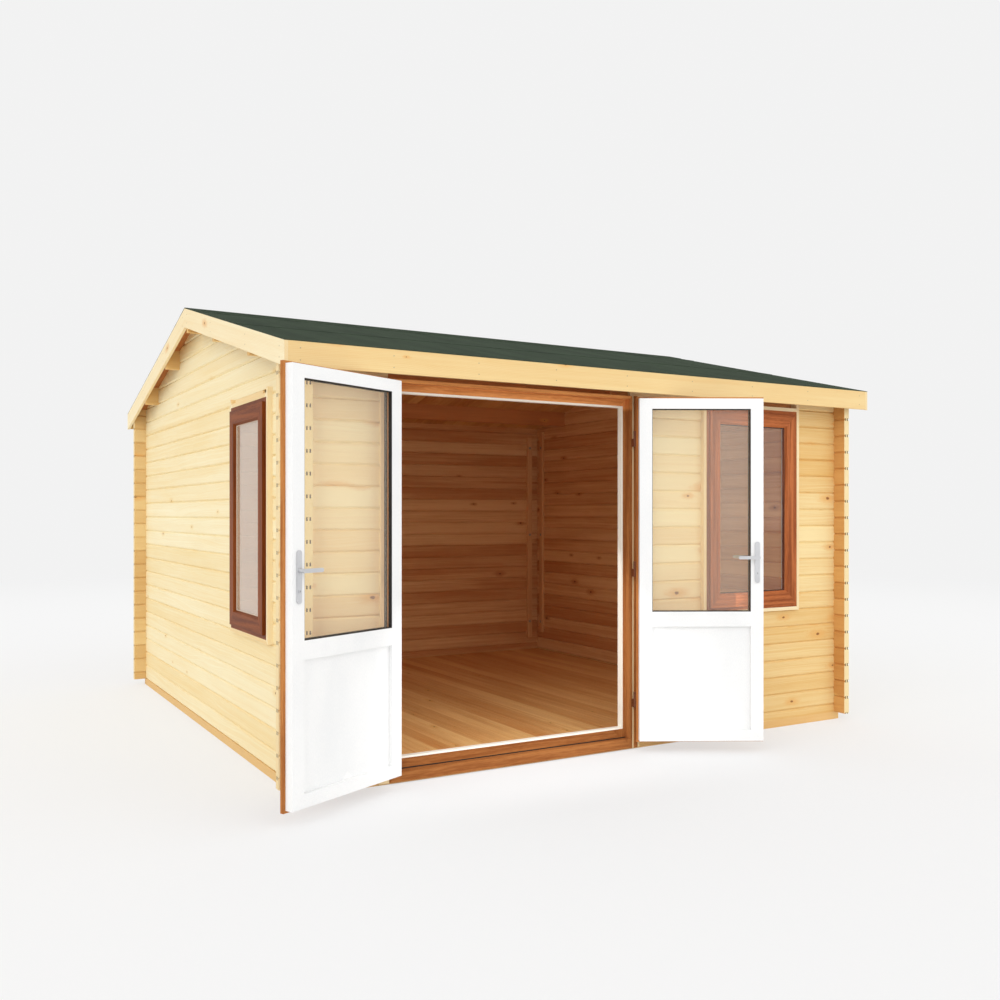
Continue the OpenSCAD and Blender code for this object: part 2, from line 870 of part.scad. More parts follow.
ground_bearers();
floor_joists();
floor_deck();
front_wall_left();
front_wall_under_window();
front_wall_between();
front_wall_right();
front_wall_top();
left_wall_under_window();
left_wall_front();
left_wall_rear();
left_wall_top();
left_gable();
right_wall();
right_gable();
back_wall();
purlins();
front_roof_deck();
rear_roof_deck();
front_roof_felt();
rear_roof_felt();
front_fascia();
rear_fascia();
left_barge_boards();
right_barge_boards();
door_frame();
door_casing();
hinge_brackets();
front_window_casing();
front_window_frame();
front_window_sash();
front_window_glass();
left_window_casing();
left_window_frame();
left_window_sash();
left_window_glass();
storm_battens();
left_leaf_sash();
left_leaf_glass();
left_leaf_panel();
left_leaf_hinges();
left_leaf_plates();
left_levers();
right_leaf_sash();
right_leaf_glass();
right_leaf_panel();
right_leaf_hinges();
right_leaf_plates();
right_levers();
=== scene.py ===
# %% [markdown]
# # Dressing a log cabin
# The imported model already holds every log, board, door part and pane as exact solids in metres.
# This lesson gives them what a solid can't show: timber figure, boarding, seals, fasteners, glass
# and soft light. Each step says what the real thing is, how it could be made, and why this way.

# %% Load the frame
import math
import random

import bmesh
import bpy
from mathutils import Matrix, Vector


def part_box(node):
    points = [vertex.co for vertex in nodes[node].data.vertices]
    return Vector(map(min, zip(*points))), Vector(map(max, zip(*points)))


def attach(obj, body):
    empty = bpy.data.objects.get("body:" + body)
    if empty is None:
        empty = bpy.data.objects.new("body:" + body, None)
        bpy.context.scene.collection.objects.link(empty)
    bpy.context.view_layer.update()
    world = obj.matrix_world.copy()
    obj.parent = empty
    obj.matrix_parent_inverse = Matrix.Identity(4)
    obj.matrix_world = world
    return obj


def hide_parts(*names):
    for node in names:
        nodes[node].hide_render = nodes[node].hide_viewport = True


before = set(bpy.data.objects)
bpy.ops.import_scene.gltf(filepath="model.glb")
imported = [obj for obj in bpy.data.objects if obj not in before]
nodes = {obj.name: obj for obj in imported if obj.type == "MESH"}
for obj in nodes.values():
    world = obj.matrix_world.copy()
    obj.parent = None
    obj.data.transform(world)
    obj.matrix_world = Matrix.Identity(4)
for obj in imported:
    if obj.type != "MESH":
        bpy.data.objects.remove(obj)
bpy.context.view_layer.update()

# %% [markdown]
# ## Camera
# A product picture of a building is taken at eye height with a level camera, so that uprights stay
# upright. The picture's horizon is a little below its middle, which a small vertical shift gives
# without tilting the camera.

# %% Camera
def place_object(name, data):
    """Puts an object that shows the data into the scene."""
    thing = bpy.data.objects.new(name, data)
    bpy.context.collection.objects.link(thing)
    return thing


camera_data = bpy.data.cameras.new("cabin_camera")
camera_data.sensor_width, camera_data.lens, camera_data.shift_y = 36.0, 36.04, 0.0138
camera = place_object("cabin_camera", camera_data)
camera.location = (-3.510, -6.660, 1.394)
camera.rotation_euler = (math.radians(90), 0, math.radians(-30.1))
bpy.context.scene.camera = camera
bpy.context.scene.view_settings.view_transform = "Standard"
print("camera at", tuple(round(v, 3) for v in camera.location))

# %% [markdown]
# ## Small tools for shader nodes
# A material is a tree of nodes joined by links. Short helpers keep that brief: one puts a node
# down and feeds its inputs, a row of them does arithmetic, and others mix colours, move a value to
# another range, or scatter noise.

# %% Node helpers
def work_on(tree):
    """Lays a tree on the bench, where the helpers add nodes until the next one comes."""
    global bench
    bench = tree


def feed(node, inputs):
    """Links sockets to a node's inputs, and sets plain values on them."""
    for key, value in inputs.items():
        if isinstance(value, bpy.types.NodeSocket):
            bench.links.new(value, node.inputs[key])
        else:
            node.inputs[key].default_value = value


def put(kind, inputs, **settings):
    """Adds a node, sets its options and feeds its inputs."""
    node = bench.nodes.new("ShaderNode" + kind)
    for name, value in settings.items():
        setattr(node, name, value)
    feed(node, inputs)
    return node


def math_step(operation):
    """A function that puts down one kind of Math node and gives its output."""
    def step(*values):
        return put("Math", dict(enumerate(values)), operation=operation).outputs[0]
    return step


plus, minus, times, divided = map(math_step, ("ADD", "SUBTRACT", "MULTIPLY", "DIVIDE"))
times_plus, absolute = map(math_step, ("MULTIPLY_ADD", "ABSOLUTE"))
whole, leftover = map(math_step, ("FLOOR", "FRACT"))
above, below = map(math_step, ("GREATER_THAN", "LESS_THAN"))
larger, smaller = map(math_step, ("MAXIMUM", "MINIMUM"))


def vector_step(operation, *values):
    """One Vector Math node on vectors; gives its outputs, a vector and a value."""
    return put("VectorMath", dict(enumerate(values)), operation=operation).outputs


def scaled(vector, x, y, z):
    """A vector with each part multiplied by its own number."""
    return vector_step("MULTIPLY", vector, (x, y, z))[0]


def length(vector):
    return vector_step("LENGTH", vector)[1]


def parts_of(vector):
    """The three parts of a vector as sockets."""
    return put("SeparateXYZ", {0: vector}).outputs


def joined(x, y, z):
    """A vector from three sockets or numbers."""
    return put("CombineXYZ", {0: x, 1: y, 2: z}).outputs[0]


def blend(factor, first, second):
    return put("Mix", {0: factor, 2: first, 3: second}).outputs[0]


def mix(factor, first, second, mode="MIX"):
    """Mixes two colours by a factor; gives the colour socket."""
    inputs = {0: factor, 6: first, 7: second}
    return put("Mix", inputs, data_type="RGBA", blend_type=mode).outputs[2]


def mix_pair(factor, first, second):
    """Mixes a light and a dark tone with another such pair by one factor."""
    return [mix(factor, one, other) for one, other in zip(first, second)]


def remap(value, low, high, to_low=0.0, to_high=1.0):
    """Moves a value from one range to another with a soft start and end."""
    inputs = {"Value": value, "From Min": low, "From Max": high,
              "To Min": to_low, "To Max": to_high}
    return put("MapRange", inputs, interpolation_type="SMOOTHSTEP").outputs[0]


def noise(vector, per_metre, detail=2.0, rough=0.5, warp=0.0):
    """Noise with its own count per metre along each axis; gives a value near one half."""
    inputs = {"Vector": scaled(vector, *per_metre), "Scale": 1.0, "Detail": detail,
              "Roughness": rough, "Distortion": warp}
    return put("TexNoise", inputs).outputs[0]


def screen(red, green, blue):
    """A colour as a screen shows it, 0 to 255, in the linear numbers that shaders use."""
    def one(value):
        value /= 255
        return value / 12.92 if value <= 0.04045 else ((value + 0.055) / 1.055) ** 2.4
    return one(red), one(green), one(blue), 1.0


print("helpers ready; mid grey is", round(screen(128, 128, 128)[0], 3))

# %% [markdown]
# ## Groups: shared effects
# Timber figure, foil grain and fine speckle come back in many materials, so each is a node group
# whose inputs set colours and scale. A group gives out colours and values only; the shader itself
# stays in the material.

# %% Group helper
SURFACE = [("Color", "Color"), ("Roughness", "Float"), ("Height", "Float")]


def new_group(name, place, values, colours):
    """An empty surface group, its input sockets and a function that sets an output."""
    group = bpy.data.node_groups.new(name, "ShaderNodeTree")

    def socket(label, kind, way="INPUT"):
        return group.interface.new_socket(label, in_out=way, socket_type="NodeSocket" + kind)
    socket(place, "Vector")
    for label, default in values.items():
        socket(label, "Float").default_value = default
    for label in colours:
        socket(label, "Color")
    for label, kind in SURFACE:
        socket(label, kind, "OUTPUT")
    inside = group.nodes.new("NodeGroupInput").outputs
    target = group.nodes.new("NodeGroupOutput")
    work_on(group)
    return group, inside, lambda label, value: feed(target, {label: value})


def place_group(group, tones, inputs):
    """Puts a group in a material with a light and a dark tone, and gives its outputs."""
    return put("Group", {"Light": tones[0], "Dark": tones[1], **inputs}, node_tree=group).outputs


print("groups give", [name for name, _ in SURFACE])

# %% [markdown]
# ## Pine figure
# Sawn pine shows growth rings cut along the log: long lines that arch where the cut runs near the
# heart. Fine fibres lie in them, and each branch left a knot with a zone of resin round it, longer
# along the grain. A photograph of timber could be wrapped on, but it repeats and stretches. Here
# scattered points place the knots, and a chance for each piece shifts the whole pattern.

# %% Pine knots
KNOT_ALONG, KNOT_ACROSS = 2.2, 6.0
KNOT_LEAST, KNOT_GROWTH, KNOT_SHARE = 0.003, 0.030, 0.40
PIECE_SHIFT = (41.0, 0.37, 0.23)
RAGGED_GRAIN, RAGGED_SWING, RAGGED_LEAST = (30.0, 90.0, 90.0), 0.9, 0.55
HALO_REACH, CORE_SQUEEZE, FULL_WITHIN = 4.2, 1.7, 0.5
pine_group, given, give = new_group(
    "pine figure", "Grain", {"Piece": 0.0, "End": 0.0, "Knots": 1.0, "Spread": 1.0, "Figure": 1.0},
    ("Light", "Dark", "Resin", "Knot"))
luck = put("TexWhiteNoise", {"W": given["Piece"]}, noise_dimensions="1D").outputs["Color"]
luck_parts = parts_of(luck)
shifted = vector_step("MULTIPLY_ADD", luck, PIECE_SHIFT, given["Grain"])[0]
knot_place = scaled(shifted, KNOT_ALONG, KNOT_ACROSS, 0.0)
branch = put("TexVoronoi", {"Vector": knot_place, "Scale": 1.0}, voronoi_dimensions="2D").outputs
from_knot = vector_step("SUBTRACT", knot_place, branch["Position"])[0]
ragged = times_plus(noise(shifted, RAGGED_GRAIN, detail=3.0), RAGGED_SWING, RAGGED_LEAST)


def knot_reach(along):
    """Ragged distance to the nearest knot in metres, squeezed along the grain."""
    away = length(scaled(from_knot, along, 1.0, 0.0))
    return times(divided(away, KNOT_ACROSS), ragged)


chance = plus(parts_of(branch["Color"])[0], times_plus(given["Knots"], KNOT_SHARE, -1.0))
size = times(times_plus(chance, KNOT_GROWTH, KNOT_LEAST), above(chance, 0.0))
full_size = times(size, FULL_WITHIN)
halo = remap(knot_reach(1.0), times(size, HALO_REACH), full_size)
core = remap(knot_reach(CORE_SQUEEZE), size, full_size)
print("pine knots about every", round(1 / KNOT_ALONG, 2), "m along the grain")

# %% [markdown]
# The rings are drawn by the distance to a heart line that wanders along the piece, and the knots
# push them aside. Cut ends show the same rings as circles. Stretched noises give the fibres and
# the slow bands of tone.

# %% Pine rings and fibre
RINGS, KNOT_PUSH = 170.0, 1.6
HEART_UP, HEART_DEEP, HEART_WANDER = (0.09, -0.045), (0.03, 0.012), 0.18
LATE_START, LATE_FULL, LATE_END = 0.25, 0.90, 0.93
across = parts_of(given["Grain"])
wander = noise(shifted, (0.55, 2.2, 2.2), detail=3.0)
heart_y = times_plus(luck_parts[0], HEART_UP[0], plus(across[1], HEART_UP[1]))
heart_y = times_plus(minus(wander, 0.5), HEART_WANDER, heart_y)
heart_z = times_plus(luck_parts[2], HEART_DEEP[0], plus(across[2], HEART_DEEP[1]))
radius = length(joined(0.0, heart_y, heart_z))
ring = leftover(times_plus(radius, RINGS, times(halo, KNOT_PUSH)))
late = times(remap(ring, LATE_START, LATE_FULL), remap(ring, 1.0, LATE_END))
bands = noise(shifted, (0.9, 40.0, 40.0), detail=4.0, rough=0.6, warp=0.25)
fibre = noise(shifted, (9.0, 420.0, 420.0))
broad = noise(shifted, (0.8, 5.0, 5.0))
print("pine rings", round(1000 / RINGS, 1), "mm apart")

# %% [markdown]
# Each part of the figure leans the tone a little from light to dark. Some pieces are warmer than
# others, knots and resin lie over that, and end grain is duller.

# %% Pine colours
TONE_MIDDLE, PIECE_LEAN = 0.40, 0.55
FIGURE_PARTS = (bands, 0.5, 0.75), (broad, 0.5, 0.80), (fibre, 0.5, 0.35), (late, 0.3, 0.20)
WARMTH, WARMTH_SHARE = (1.0, 0.95, 0.88, 1.0), 0.4
END_DULL, HALO_SHARE, CORE_SHARE = (0.95, 0.91, 0.84, 1.0), 0.62, 0.82
lean = times(minus(luck_parts[1], 0.5), given["Spread"])
figure = times_plus(lean, PIECE_LEAN, TONE_MIDDLE)
for part, middle, share in FIGURE_PARTS:
    stray = times(minus(part, middle), given["Figure"])
    figure = times_plus(stray, share, figure)
figure = larger(smaller(figure, 1.0), 0.0)
face = mix(figure, given["Light"], given["Dark"])
warmer = mix(1.0, face, WARMTH, "MULTIPLY")
face = mix(times(luck_parts[0], WARMTH_SHARE), face, warmer)
face = mix(times(halo, HALO_SHARE), face, given["Resin"])
face = mix(times(core, CORE_SHARE), face, given["Knot"])
ends = mix(times_plus(late, 0.5, 0.25), given["Light"], given["Dark"])
ends = mix(1.0, ends, END_DULL, "MULTIPLY")
give("Color", mix(given["End"], face, ends))
give("Roughness", times_plus(fibre, 0.22, 0.50))
give("Height", times_plus(late, 0.45, times_plus(fibre, 0.5, core)))
print("pine figure gives", [name for name, _ in SURFACE])

# %% [markdown]
# ## Foil grain
# The plastic doors and windows are wrapped outside in a printed oak foil: dark brown with fine
# pores in short dashes and slow tone changes along each profile. Two stretched noises make it, one
# long and soft and one fine.

# %% Foil grain group
PORE_SHARE, FOIL_RANGE = 0.55, (0.28, 0.72)
foil_group, given, give = new_group("foil grain", "Grain", {}, ("Light", "Dark"))
slow = noise(given["Grain"], (1.6, 38.0, 38.0), detail=3.0, warp=0.5)
pores = noise(given["Grain"], (22.0, 520.0, 520.0))
tone = times_plus(minus(pores, 0.5), PORE_SHARE, slow)
give("Color", mix(remap(tone, *FOIL_RANGE), given["Light"], given["Dark"]))
give("Roughness", times_plus(pores, 0.2, 0.3))
give("Height", pores)
print("foil grain ready")

# %% [markdown]
# ## Fine speckle
# Moulded white plastic, rubber, paint and roofing felt all have a fine random surface with slow
# stains over it. One group serves them: a grain size, two colours, and a share for the slow part.

# %% Fine speckle group
SPECKLE_RANGE, GLOSS_SWING = (0.32, 0.68), 0.16
speckle_group, given, give = new_group(
    "fine speckle", "Place", {"Grain per metre": 300.0, "Slow part": 0.5, "Gloss": 0.35},
    ("Light", "Dark"))
dots = {"Vector": given["Place"], "Scale": given["Grain per metre"], "Detail": 2.0}
dots = put("TexNoise", dots).outputs[0]
stain = noise(given["Place"], (3.0, 3.0, 5.0), detail=4.0, rough=0.6)
tone = blend(given["Slow part"], dots, stain)
give("Color", mix(remap(tone, *SPECKLE_RANGE), given["Light"], given["Dark"]))
give("Roughness", times_plus(dots, GLOSS_SWING, given["Gloss"]))
give("Height", dots)
print("fine speckle ready")

# %% [markdown]
# ## Materials: a start for each
# Each material begins the same way: a Principled shader, an output, and a Bump node that turns the
# group's height into small relief. The relief is given in metres, so it keeps its real scale.

# %% Material helpers
TIMBER_SHINE = 0.3
LOG_RELIEF, BOARD_RELIEF, FOIL_RELIEF, FELT_RELIEF = 0.0006, 0.0004, 0.00015, 0.0008
END_SPAN = 0.85, 0.95


def new_material(name, shine=0.5):
    """A node material with its shader, and the place and normal of each point on the part."""
    material = bpy.data.materials.new(name)
    material.use_nodes = True
    work_on(material.node_tree)
    shader = bench.nodes["Principled BSDF"]
    feed(shader, {"Specular IOR Level": shine})
    coords = put("TexCoord", {}).outputs
    return material, shader, coords["Object"], coords["Normal"]


def coat(shader, surface, relief):
    """Wires a group's colour, roughness and height into the shader."""
    bump = put("Bump", {"Strength": 1.0, "Distance": relief, "Height": surface["Height"]})
    feed(shader, {"Base Color": surface["Color"], "Roughness": surface["Roughness"],
                  "Normal": bump.outputs[0]})


def show_mix(share, first, second):
    """Shows two shaders, mixed by a share, as the material's surface."""
    both = put("MixShader", {0: share, 1: first.outputs[0], 2: second.outputs[0]})
    feed(bench.nodes["Material Output"], {"Surface": both.outputs[0]})


def speckle(place, tones, per_metre, slow, gloss):
    """Fine speckle with a grain size, a share of slow stains and a least roughness."""
    return place_group(speckle_group, tones, {
        "Place": place, "Grain per metre": per_metre, "Slow part": slow, "Gloss": gloss})


def end_mask(facing):
    """One on end grain, from the part of the normal that lies along the grain."""
    return remap(absolute(facing), *END_SPAN)


def dress(material, *names):
    """Gives a material to CAD nodes."""
    for name in names:
        for place in nodes[name].material_slots:
            place.material = material
    print(material.name, "on", ", ".join(names))


print("material helpers ready")

# %% [markdown]
# ## Log walls
# Each log is one stick of pine, so the figure changes from course to course, and again where an
# opening parts a course. Front and back logs run across, side logs front to back, half a course
# lower. The course number, found from the height, seeds the figure. Inside each wall's middle
# plane the timber is deeper and warmer than the pale weathered outside. The log ends show the two
# small mouths of the groove joint.
# The side logs are paler still, with paler resin: painted light for the strong light on the left
# wall.
# Towards the left, the front and back logs turn paler: painted light for the shade of the open
# leaves.

# %% Log wall materials
COURSE, WALL_MIDDLE, CHANGE_HALF = 0.110, 1.888, 0.001
KNOT, RESIN, SIDE_LIT_RESIN = screen(126, 66, 28), screen(232, 172, 92), screen(240, 206, 134)
JOINT_DARK, INSIDE_RESIN = screen(66, 38, 16), screen(186, 108, 54)
INSIDE = screen(246, 200, 142), screen(206, 138, 82)
FRONT_TONES = screen(248, 227, 172), screen(229, 184, 110)
# Side logs paler than front logs, with paler resin: painted light for the strong light from the
# left.
SIDE_LIT_TONES = screen(252, 241, 204), screen(243, 216, 154)
FRONT_CORNER = screen(236, 208, 152), screen(218, 178, 116)
SIDE_CORNER = screen(228, 180, 112), screen(198, 136, 70)
# Paler tones towards the left of the front and back logs: painted light over the open leaves'
# shade.
PAINTED_LIGHT_TONES, PAINTED_LIGHT_SPAN = (screen(254, 240, 198), screen(245, 217, 166)), (1.1, 0.5)
FRONT_SKIPS = ("door_frame", 576.0), ("front_window_casing", -1058.0)
SIDE_SKIPS = (("left_window_casing", 68.0),)
INSIDE_FIGURE, INSIDE_SPREAD, INSIDE_KNOTS = 0.7, 1.25, 0.6
MOUTH_H, MOUTH_AT, MOUTH_HALF = 0.009, 0.0085, 0.0036


def inside_mask(place):
    """One where a point is on the room's side of the walls' middle plane."""
    x, y, _ = parts_of(place)
    far = larger(absolute(x), absolute(y))
    return remap(far, WALL_MIDDLE + CHANGE_HALF, WALL_MIDDLE - CHANGE_HALF)


def within(value, low, high):
    """One where a value lies between two numbers."""
    return times(above(value, low), below(value, high))


def log_number(axes, along, first, numbers, skips):
    """A number for each log, and the height within its course.

    Numbers start at one value, skip ahead on the near wall and again past each opening.
    """
    courses = divided(minus(axes[2], first), COURSE)
    up = times(minus(leftover(courses), 0.5), COURSE)
    near_wall = below(axes[1 - along], 0.0)
    number = plus(whole(courses), numbers[0])
    number = times_plus(near_wall, numbers[1], number)
    for opening, skip in skips:
        low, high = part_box(opening)
        past = above(axes[along], (low[along] + high[along]) / 2)
        beside = times(past, within(axes[2], low.z, high.z))
        number = times_plus(times(beside, near_wall), skip, number)
    return number, up


def log_material(name, along, tones, corner_tones, skips, resin, first, numbers, knots, spread,
                 painted_light=None):
    """Pine logs along an axis, the first course starting at a height."""
    material, shader, place, normal = new_material(name, TIMBER_SHINE)
    axes = parts_of(place)
    number, up = log_number(axes, along, first, numbers, skips)
    deep = minus(absolute(axes[1 - along]), WALL_MIDDLE)
    end = end_mask(parts_of(normal)[along])
    corner = times(below(deep, 0.0), minus(1.0, end))
    inside = inside_mask(place)
    # Paler towards the left: painted light over the shade that the open leaves cast.
    if painted_light:
        tones = mix_pair(remap(axes[along], *painted_light), tones, PAINTED_LIGHT_TONES)
    tones = mix_pair(inside, mix_pair(corner, tones, corner_tones), INSIDE)
    surface = place_group(pine_group, tones, {
        "Grain": joined(axes[along], up, deep), "Piece": number, "End": end,
        "Resin": mix(inside, resin, INSIDE_RESIN), "Knot": KNOT,
        "Knots": times_plus(inside, INSIDE_KNOTS - knots, knots),
        "Spread": times_plus(inside, INSIDE_SPREAD - spread, spread),
        "Figure": times_plus(inside, INSIDE_FIGURE, 1.0)})
    edge = above(absolute(up), COURSE / 2 - MOUTH_H)
    mouths = below(absolute(minus(absolute(deep), MOUTH_AT)), MOUTH_HALF)
    mouths = times(times(mouths, edge), end)
    coat(shader, {"Color": mix(mouths, surface["Color"], JOINT_DARK),
                  "Roughness": surface["Roughness"], "Height": surface["Height"]}, LOG_RELIEF)
    return material


front_logs = log_material(
    "front logs", 0, FRONT_TONES, FRONT_CORNER, FRONT_SKIPS, RESIN, first=0.1033,
    numbers=(655.0, 840.0), knots=0.9, spread=1.4, painted_light=PAINTED_LIGHT_SPAN)
# The side logs' paler tones and resin are painted light for the strong light on the left wall.
side_logs = log_material(
    "side logs", 1, SIDE_LIT_TONES, SIDE_CORNER, SIDE_SKIPS, SIDE_LIT_RESIN, first=0.0483,
    numbers=(515.0, 222.0), knots=0.45, spread=0.8)
dress(front_logs, "front_wall_left", "front_wall_under_window", "front_wall_between",
      "front_wall_right", "front_wall_top", "back_wall")
dress(side_logs, "left_wall_under_window", "left_wall_front", "left_wall_rear", "left_wall_top",
      "left_gable", "right_wall", "right_gable")

# %% [markdown]
# ## Planed boards
# Fascias run across, barge boards follow the roof slope, casings and battens stand upright. They
# differ only in which way the grain runs, so one function takes the direction. On the slope, a
# turned pair of axes follows the boards.

# %% Board materials
PITCH = math.radians(14)
RISE, RUN = math.sin(PITCH), math.cos(PITCH)
BOARD_KNOTS = 0.5
PLANED = screen(252, 238, 200), screen(240, 206, 144)
FASCIA_TONES = screen(240, 213, 156), screen(226, 182, 114)
PURLIN_TONES = screen(246, 212, 146), screen(224, 172, 100)
PURLIN_INSIDE = screen(222, 152, 94), screen(182, 108, 58)


def slope_axes(place):
    """Along and square to the roof slope, on either half."""
    x, y, z = parts_of(place)
    out = absolute(y)
    along = times_plus(z, -RISE, times(out, RUN))
    square = times_plus(z, RUN, times(out, RISE))
    return along, square, x


def board_material(name, grain, seed, tones=PLANED, step=0.0, indoors=None, figure=1.0):
    """Planed pine with grain along X, Y, Z or the roof slope; step gives a board's width."""
    material, shader, place, normal = new_material(name, TIMBER_SHINE)
    x, y, z = parts_of(place)
    nx, ny, nz = parts_of(normal)
    if grain == "slope":
        along, over, side = slope_axes(place)
        tip, count = ny, x
    else:
        along, over, side, tip, count = {
            "X": (x, z, y, nx, y), "Y": (y, x, z, ny, x), "Z": (z, x, y, nz, y)}[grain]
    if indoors:
        tones = mix_pair(inside_mask(place), tones, indoors)
    piece = seed
    if step:
        piece = plus(whole(divided(count, step)), seed)
    surface = place_group(pine_group, tones, {
        "Grain": joined(along, over, side), "Piece": piece, "End": end_mask(tip), "Resin": RESIN,
        "Knot": KNOT, "Knots": BOARD_KNOTS, "Figure": figure})
    coat(shader, surface, BOARD_RELIEF)
    return material


dress(board_material("fascia pine", "X", 11.0, FASCIA_TONES, 1.0), "front_fascia", "rear_fascia")
dress(board_material("barge pine", "slope", 23.0, step=1.0),
      "left_barge_boards", "right_barge_boards")
dress(board_material("upright pine", "Z", 37.0, step=0.5), "door_casing")
dress(board_material("batten pine", "Z", 43.0, INSIDE, 0.5), "storm_battens")
dress(board_material("purlin pine", "X", 51.0, PURLIN_TONES, 0.5, PURLIN_INSIDE), "purlins")

# %% [markdown]
# ## Window casings and base timber
# Each window has a ring of casing boards, and the grain turns at each corner. A mask that compares
# the distance to the two pairs of sides tells lying boards from standing ones, and mixes two grain
# directions. The bearers and joists under the floor are plain boards.

# %% Ring materials
BEARER_TONES = screen(246, 218, 160), screen(224, 174, 104)


def ring_grain(flat, high, deep, middle, half):
    """Grain along each member of an upright ring, mitred at the corners, and which stand up."""
    near_side, near_end = (minus(absolute(minus(axis, centre)), reach)
                           for axis, centre, reach in zip((flat, high), middle, half))
    upright = above(near_side, near_end)
    lying, standing = joined(flat, high, deep), joined(high, flat, deep)
    grain = put("Mix", {0: upright, 4: lying, 5: standing}, data_type="VECTOR").outputs[1]
    return grain, upright


def ring_of(node, flat):
    """Middle and half size of a node's box, each in the flat axis and in height."""
    low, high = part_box(node)
    middle = [(low[i] + high[i]) / 2 for i in (flat, 2)]
    return middle, [(high[i] - low[i]) / 2 for i in (flat, 2)]


def casing_material(name, node, flat, seed):
    """Pine casing whose boards run round a window."""
    material, shader, place, _ = new_material(name, TIMBER_SHINE)
    axes = parts_of(place)
    grain, upright = ring_grain(axes[flat], axes[2], axes[1 - flat], *ring_of(node, flat))
    tones = mix_pair(inside_mask(place), PLANED, INSIDE)
    surface = place_group(pine_group, tones, {
        "Grain": grain, "Piece": plus(upright, seed), "Resin": RESIN, "Knot": KNOT,
        "Knots": BOARD_KNOTS})
    coat(shader, surface, BOARD_RELIEF)
    dress(material, node)


casing_material("front casing pine", "front_window_casing", 0, 61.0)
casing_material("left casing pine", "left_window_casing", 1, 67.0)
dress(board_material("bearer pine", "X", 71.0, BEARER_TONES, 0.5),
      "ground_bearers", "floor_joists")

# %% [markdown]
# ## Oak foil outside, white inside
# Door frame, leaves and windows are white plastic with brown foil on the weather side. The change
# follows a plane through each profile. The leaves stand open in the model, so each point is first
# turned back about the hinge to the closed door, and the plane is found there. In the part's own
# coordinates it stays right at every pose.

# %% Two-sided plastic
DOOR_FOIL = screen(204, 136, 76), screen(158, 94, 48)
# The frame's foil is a darker copy of the leaves' foil: painted shade on the frame.
FRAME_SHADE_FOIL = screen(178, 116, 64), screen(138, 80, 40)
# A lighter copy of the frame foil for the top rail: painted light against the eaves' shade.
HEAD_PAINTED_LIGHT = screen(238, 164, 96), screen(190, 116, 62)
WINDOW_FOIL = screen(196, 114, 66), screen(140, 74, 40)
SHADED_FOIL = screen(142, 74, 30), screen(106, 50, 18)
WHITE = screen(248, 248, 247), screen(239, 240, 240)
# A brighter, warmer copy of the white plastic for the door frame: painted light on its shaded
# reveal.
PAINTED_LIGHT_WHITE = screen(255, 252, 240), screen(250, 246, 232)
FOIL_SHINE, HEAD_LIGHT_SPAN = 0.06, (1.995, 2.025)


def plastic_material(name, flat, middle, half, change, foil, turn=None, opening=None, white=WHITE,
                     head=None):
    """Foil where a point is further out than change, white plastic elsewhere and round an opening.

    Turn takes a leaf back to closed; head is a lighter foil on the top rail:
    painted light for the shade under the eaves.
    """
    material, shader, place, _ = new_material(name, FOIL_SHINE)
    if turn:
        inputs = {"Vector": place, "Center": turn[0], "Angle": math.radians(turn[1])}
        place = put("VectorRotate", inputs, rotation_type="Z_AXIS").outputs[0]
    axes = parts_of(place)
    deep = axes[1 - flat]
    grain, _ = ring_grain(axes[flat], axes[2], deep, middle, half)
    # The top rail turns to a lighter foil: painted light for the shade of the eaves.
    if head:
        foil = mix_pair(remap(axes[2], *HEAD_LIGHT_SPAN), foil, head)
    brown = place_group(foil_group, foil, {"Grain": grain})
    plain = speckle(scaled(grain, 0.35, 1.0, 1.0), white, per_metre=240.0, slow=0.6, gloss=0.3)
    outer = below(deep, change)
    if opening:
        u0, u1, v0, v1 = opening
        bare = times(within(axes[flat], u0, u1), within(axes[2], v0, v1))
        outer = times(outer, minus(1.0, bare))
    both = {"Color": mix(outer, plain["Color"], brown["Color"])}
    for label in ("Roughness", "Height"):
        both[label] = blend(outer, plain[label], brown[label])
    coat(shader, both, FOIL_RELIEF)
    return material


HINGE = {"left": (-1.417, -1.962, 0.0), "right": (0.129, -1.962, 0.0)}
TURN = {"left": 154.0, "right": -151.0}
LEAF_BODY = {"left": (-1.399, -0.643), "right": (-0.613, 0.111)}
LEAF_UP, LEAF_TALL = 1.0685, 0.9975
FLANGE_BACK, PANEL_MIDDLE, FRAME_CHANGE, WINDOW_CHANGE = -1.9355, -1.924, -1.8855, -1.905
NARROW, CLEAR_DOORWAY = 0.1, (-1.387, 0.099, 0.119, 2.032)
for side, (x0, x1) in LEAF_BODY.items():
    turn, middle = (HINGE[side], TURN[side]), ((x0 + x1) / 2, LEAF_UP)
    dress(plastic_material(side + " leaf plastic", 0, middle, ((x1 - x0) / 2, LEAF_TALL),
                           FLANGE_BACK, DOOR_FOIL, turn), side + "_leaf_sash")
    dress(plastic_material(side + " panel plastic", 0, middle, (NARROW, LEAF_TALL),
                           PANEL_MIDDLE, DOOR_FOIL, turn), side + "_leaf_panel")
door_middle, door_half = ring_of("door_frame", 0)
dress(plastic_material("door frame plastic", 0, door_middle, door_half, FRAME_CHANGE, FRAME_SHADE_FOIL,
                       None, CLEAR_DOORWAY, PAINTED_LIGHT_WHITE, HEAD_PAINTED_LIGHT), "door_frame")
for side, flat, foil in (("front", 0, WINDOW_FOIL), ("left", 1, SHADED_FOIL)):
    middle, half = ring_of(side + "_window_frame", flat)
    dress(plastic_material(side + " window plastic", flat, middle, half, WINDOW_CHANGE, foil),
          side + "_window_frame", side + "_window_sash")

# %% [markdown]
# ## Roofing felt
# The roof has green mineral felt: sand-like granules pressed into bitumen, with faint streaks
# where rain runs down the slope. The speckle group gives granules, with the place stretched down
# the slope for the streaks.

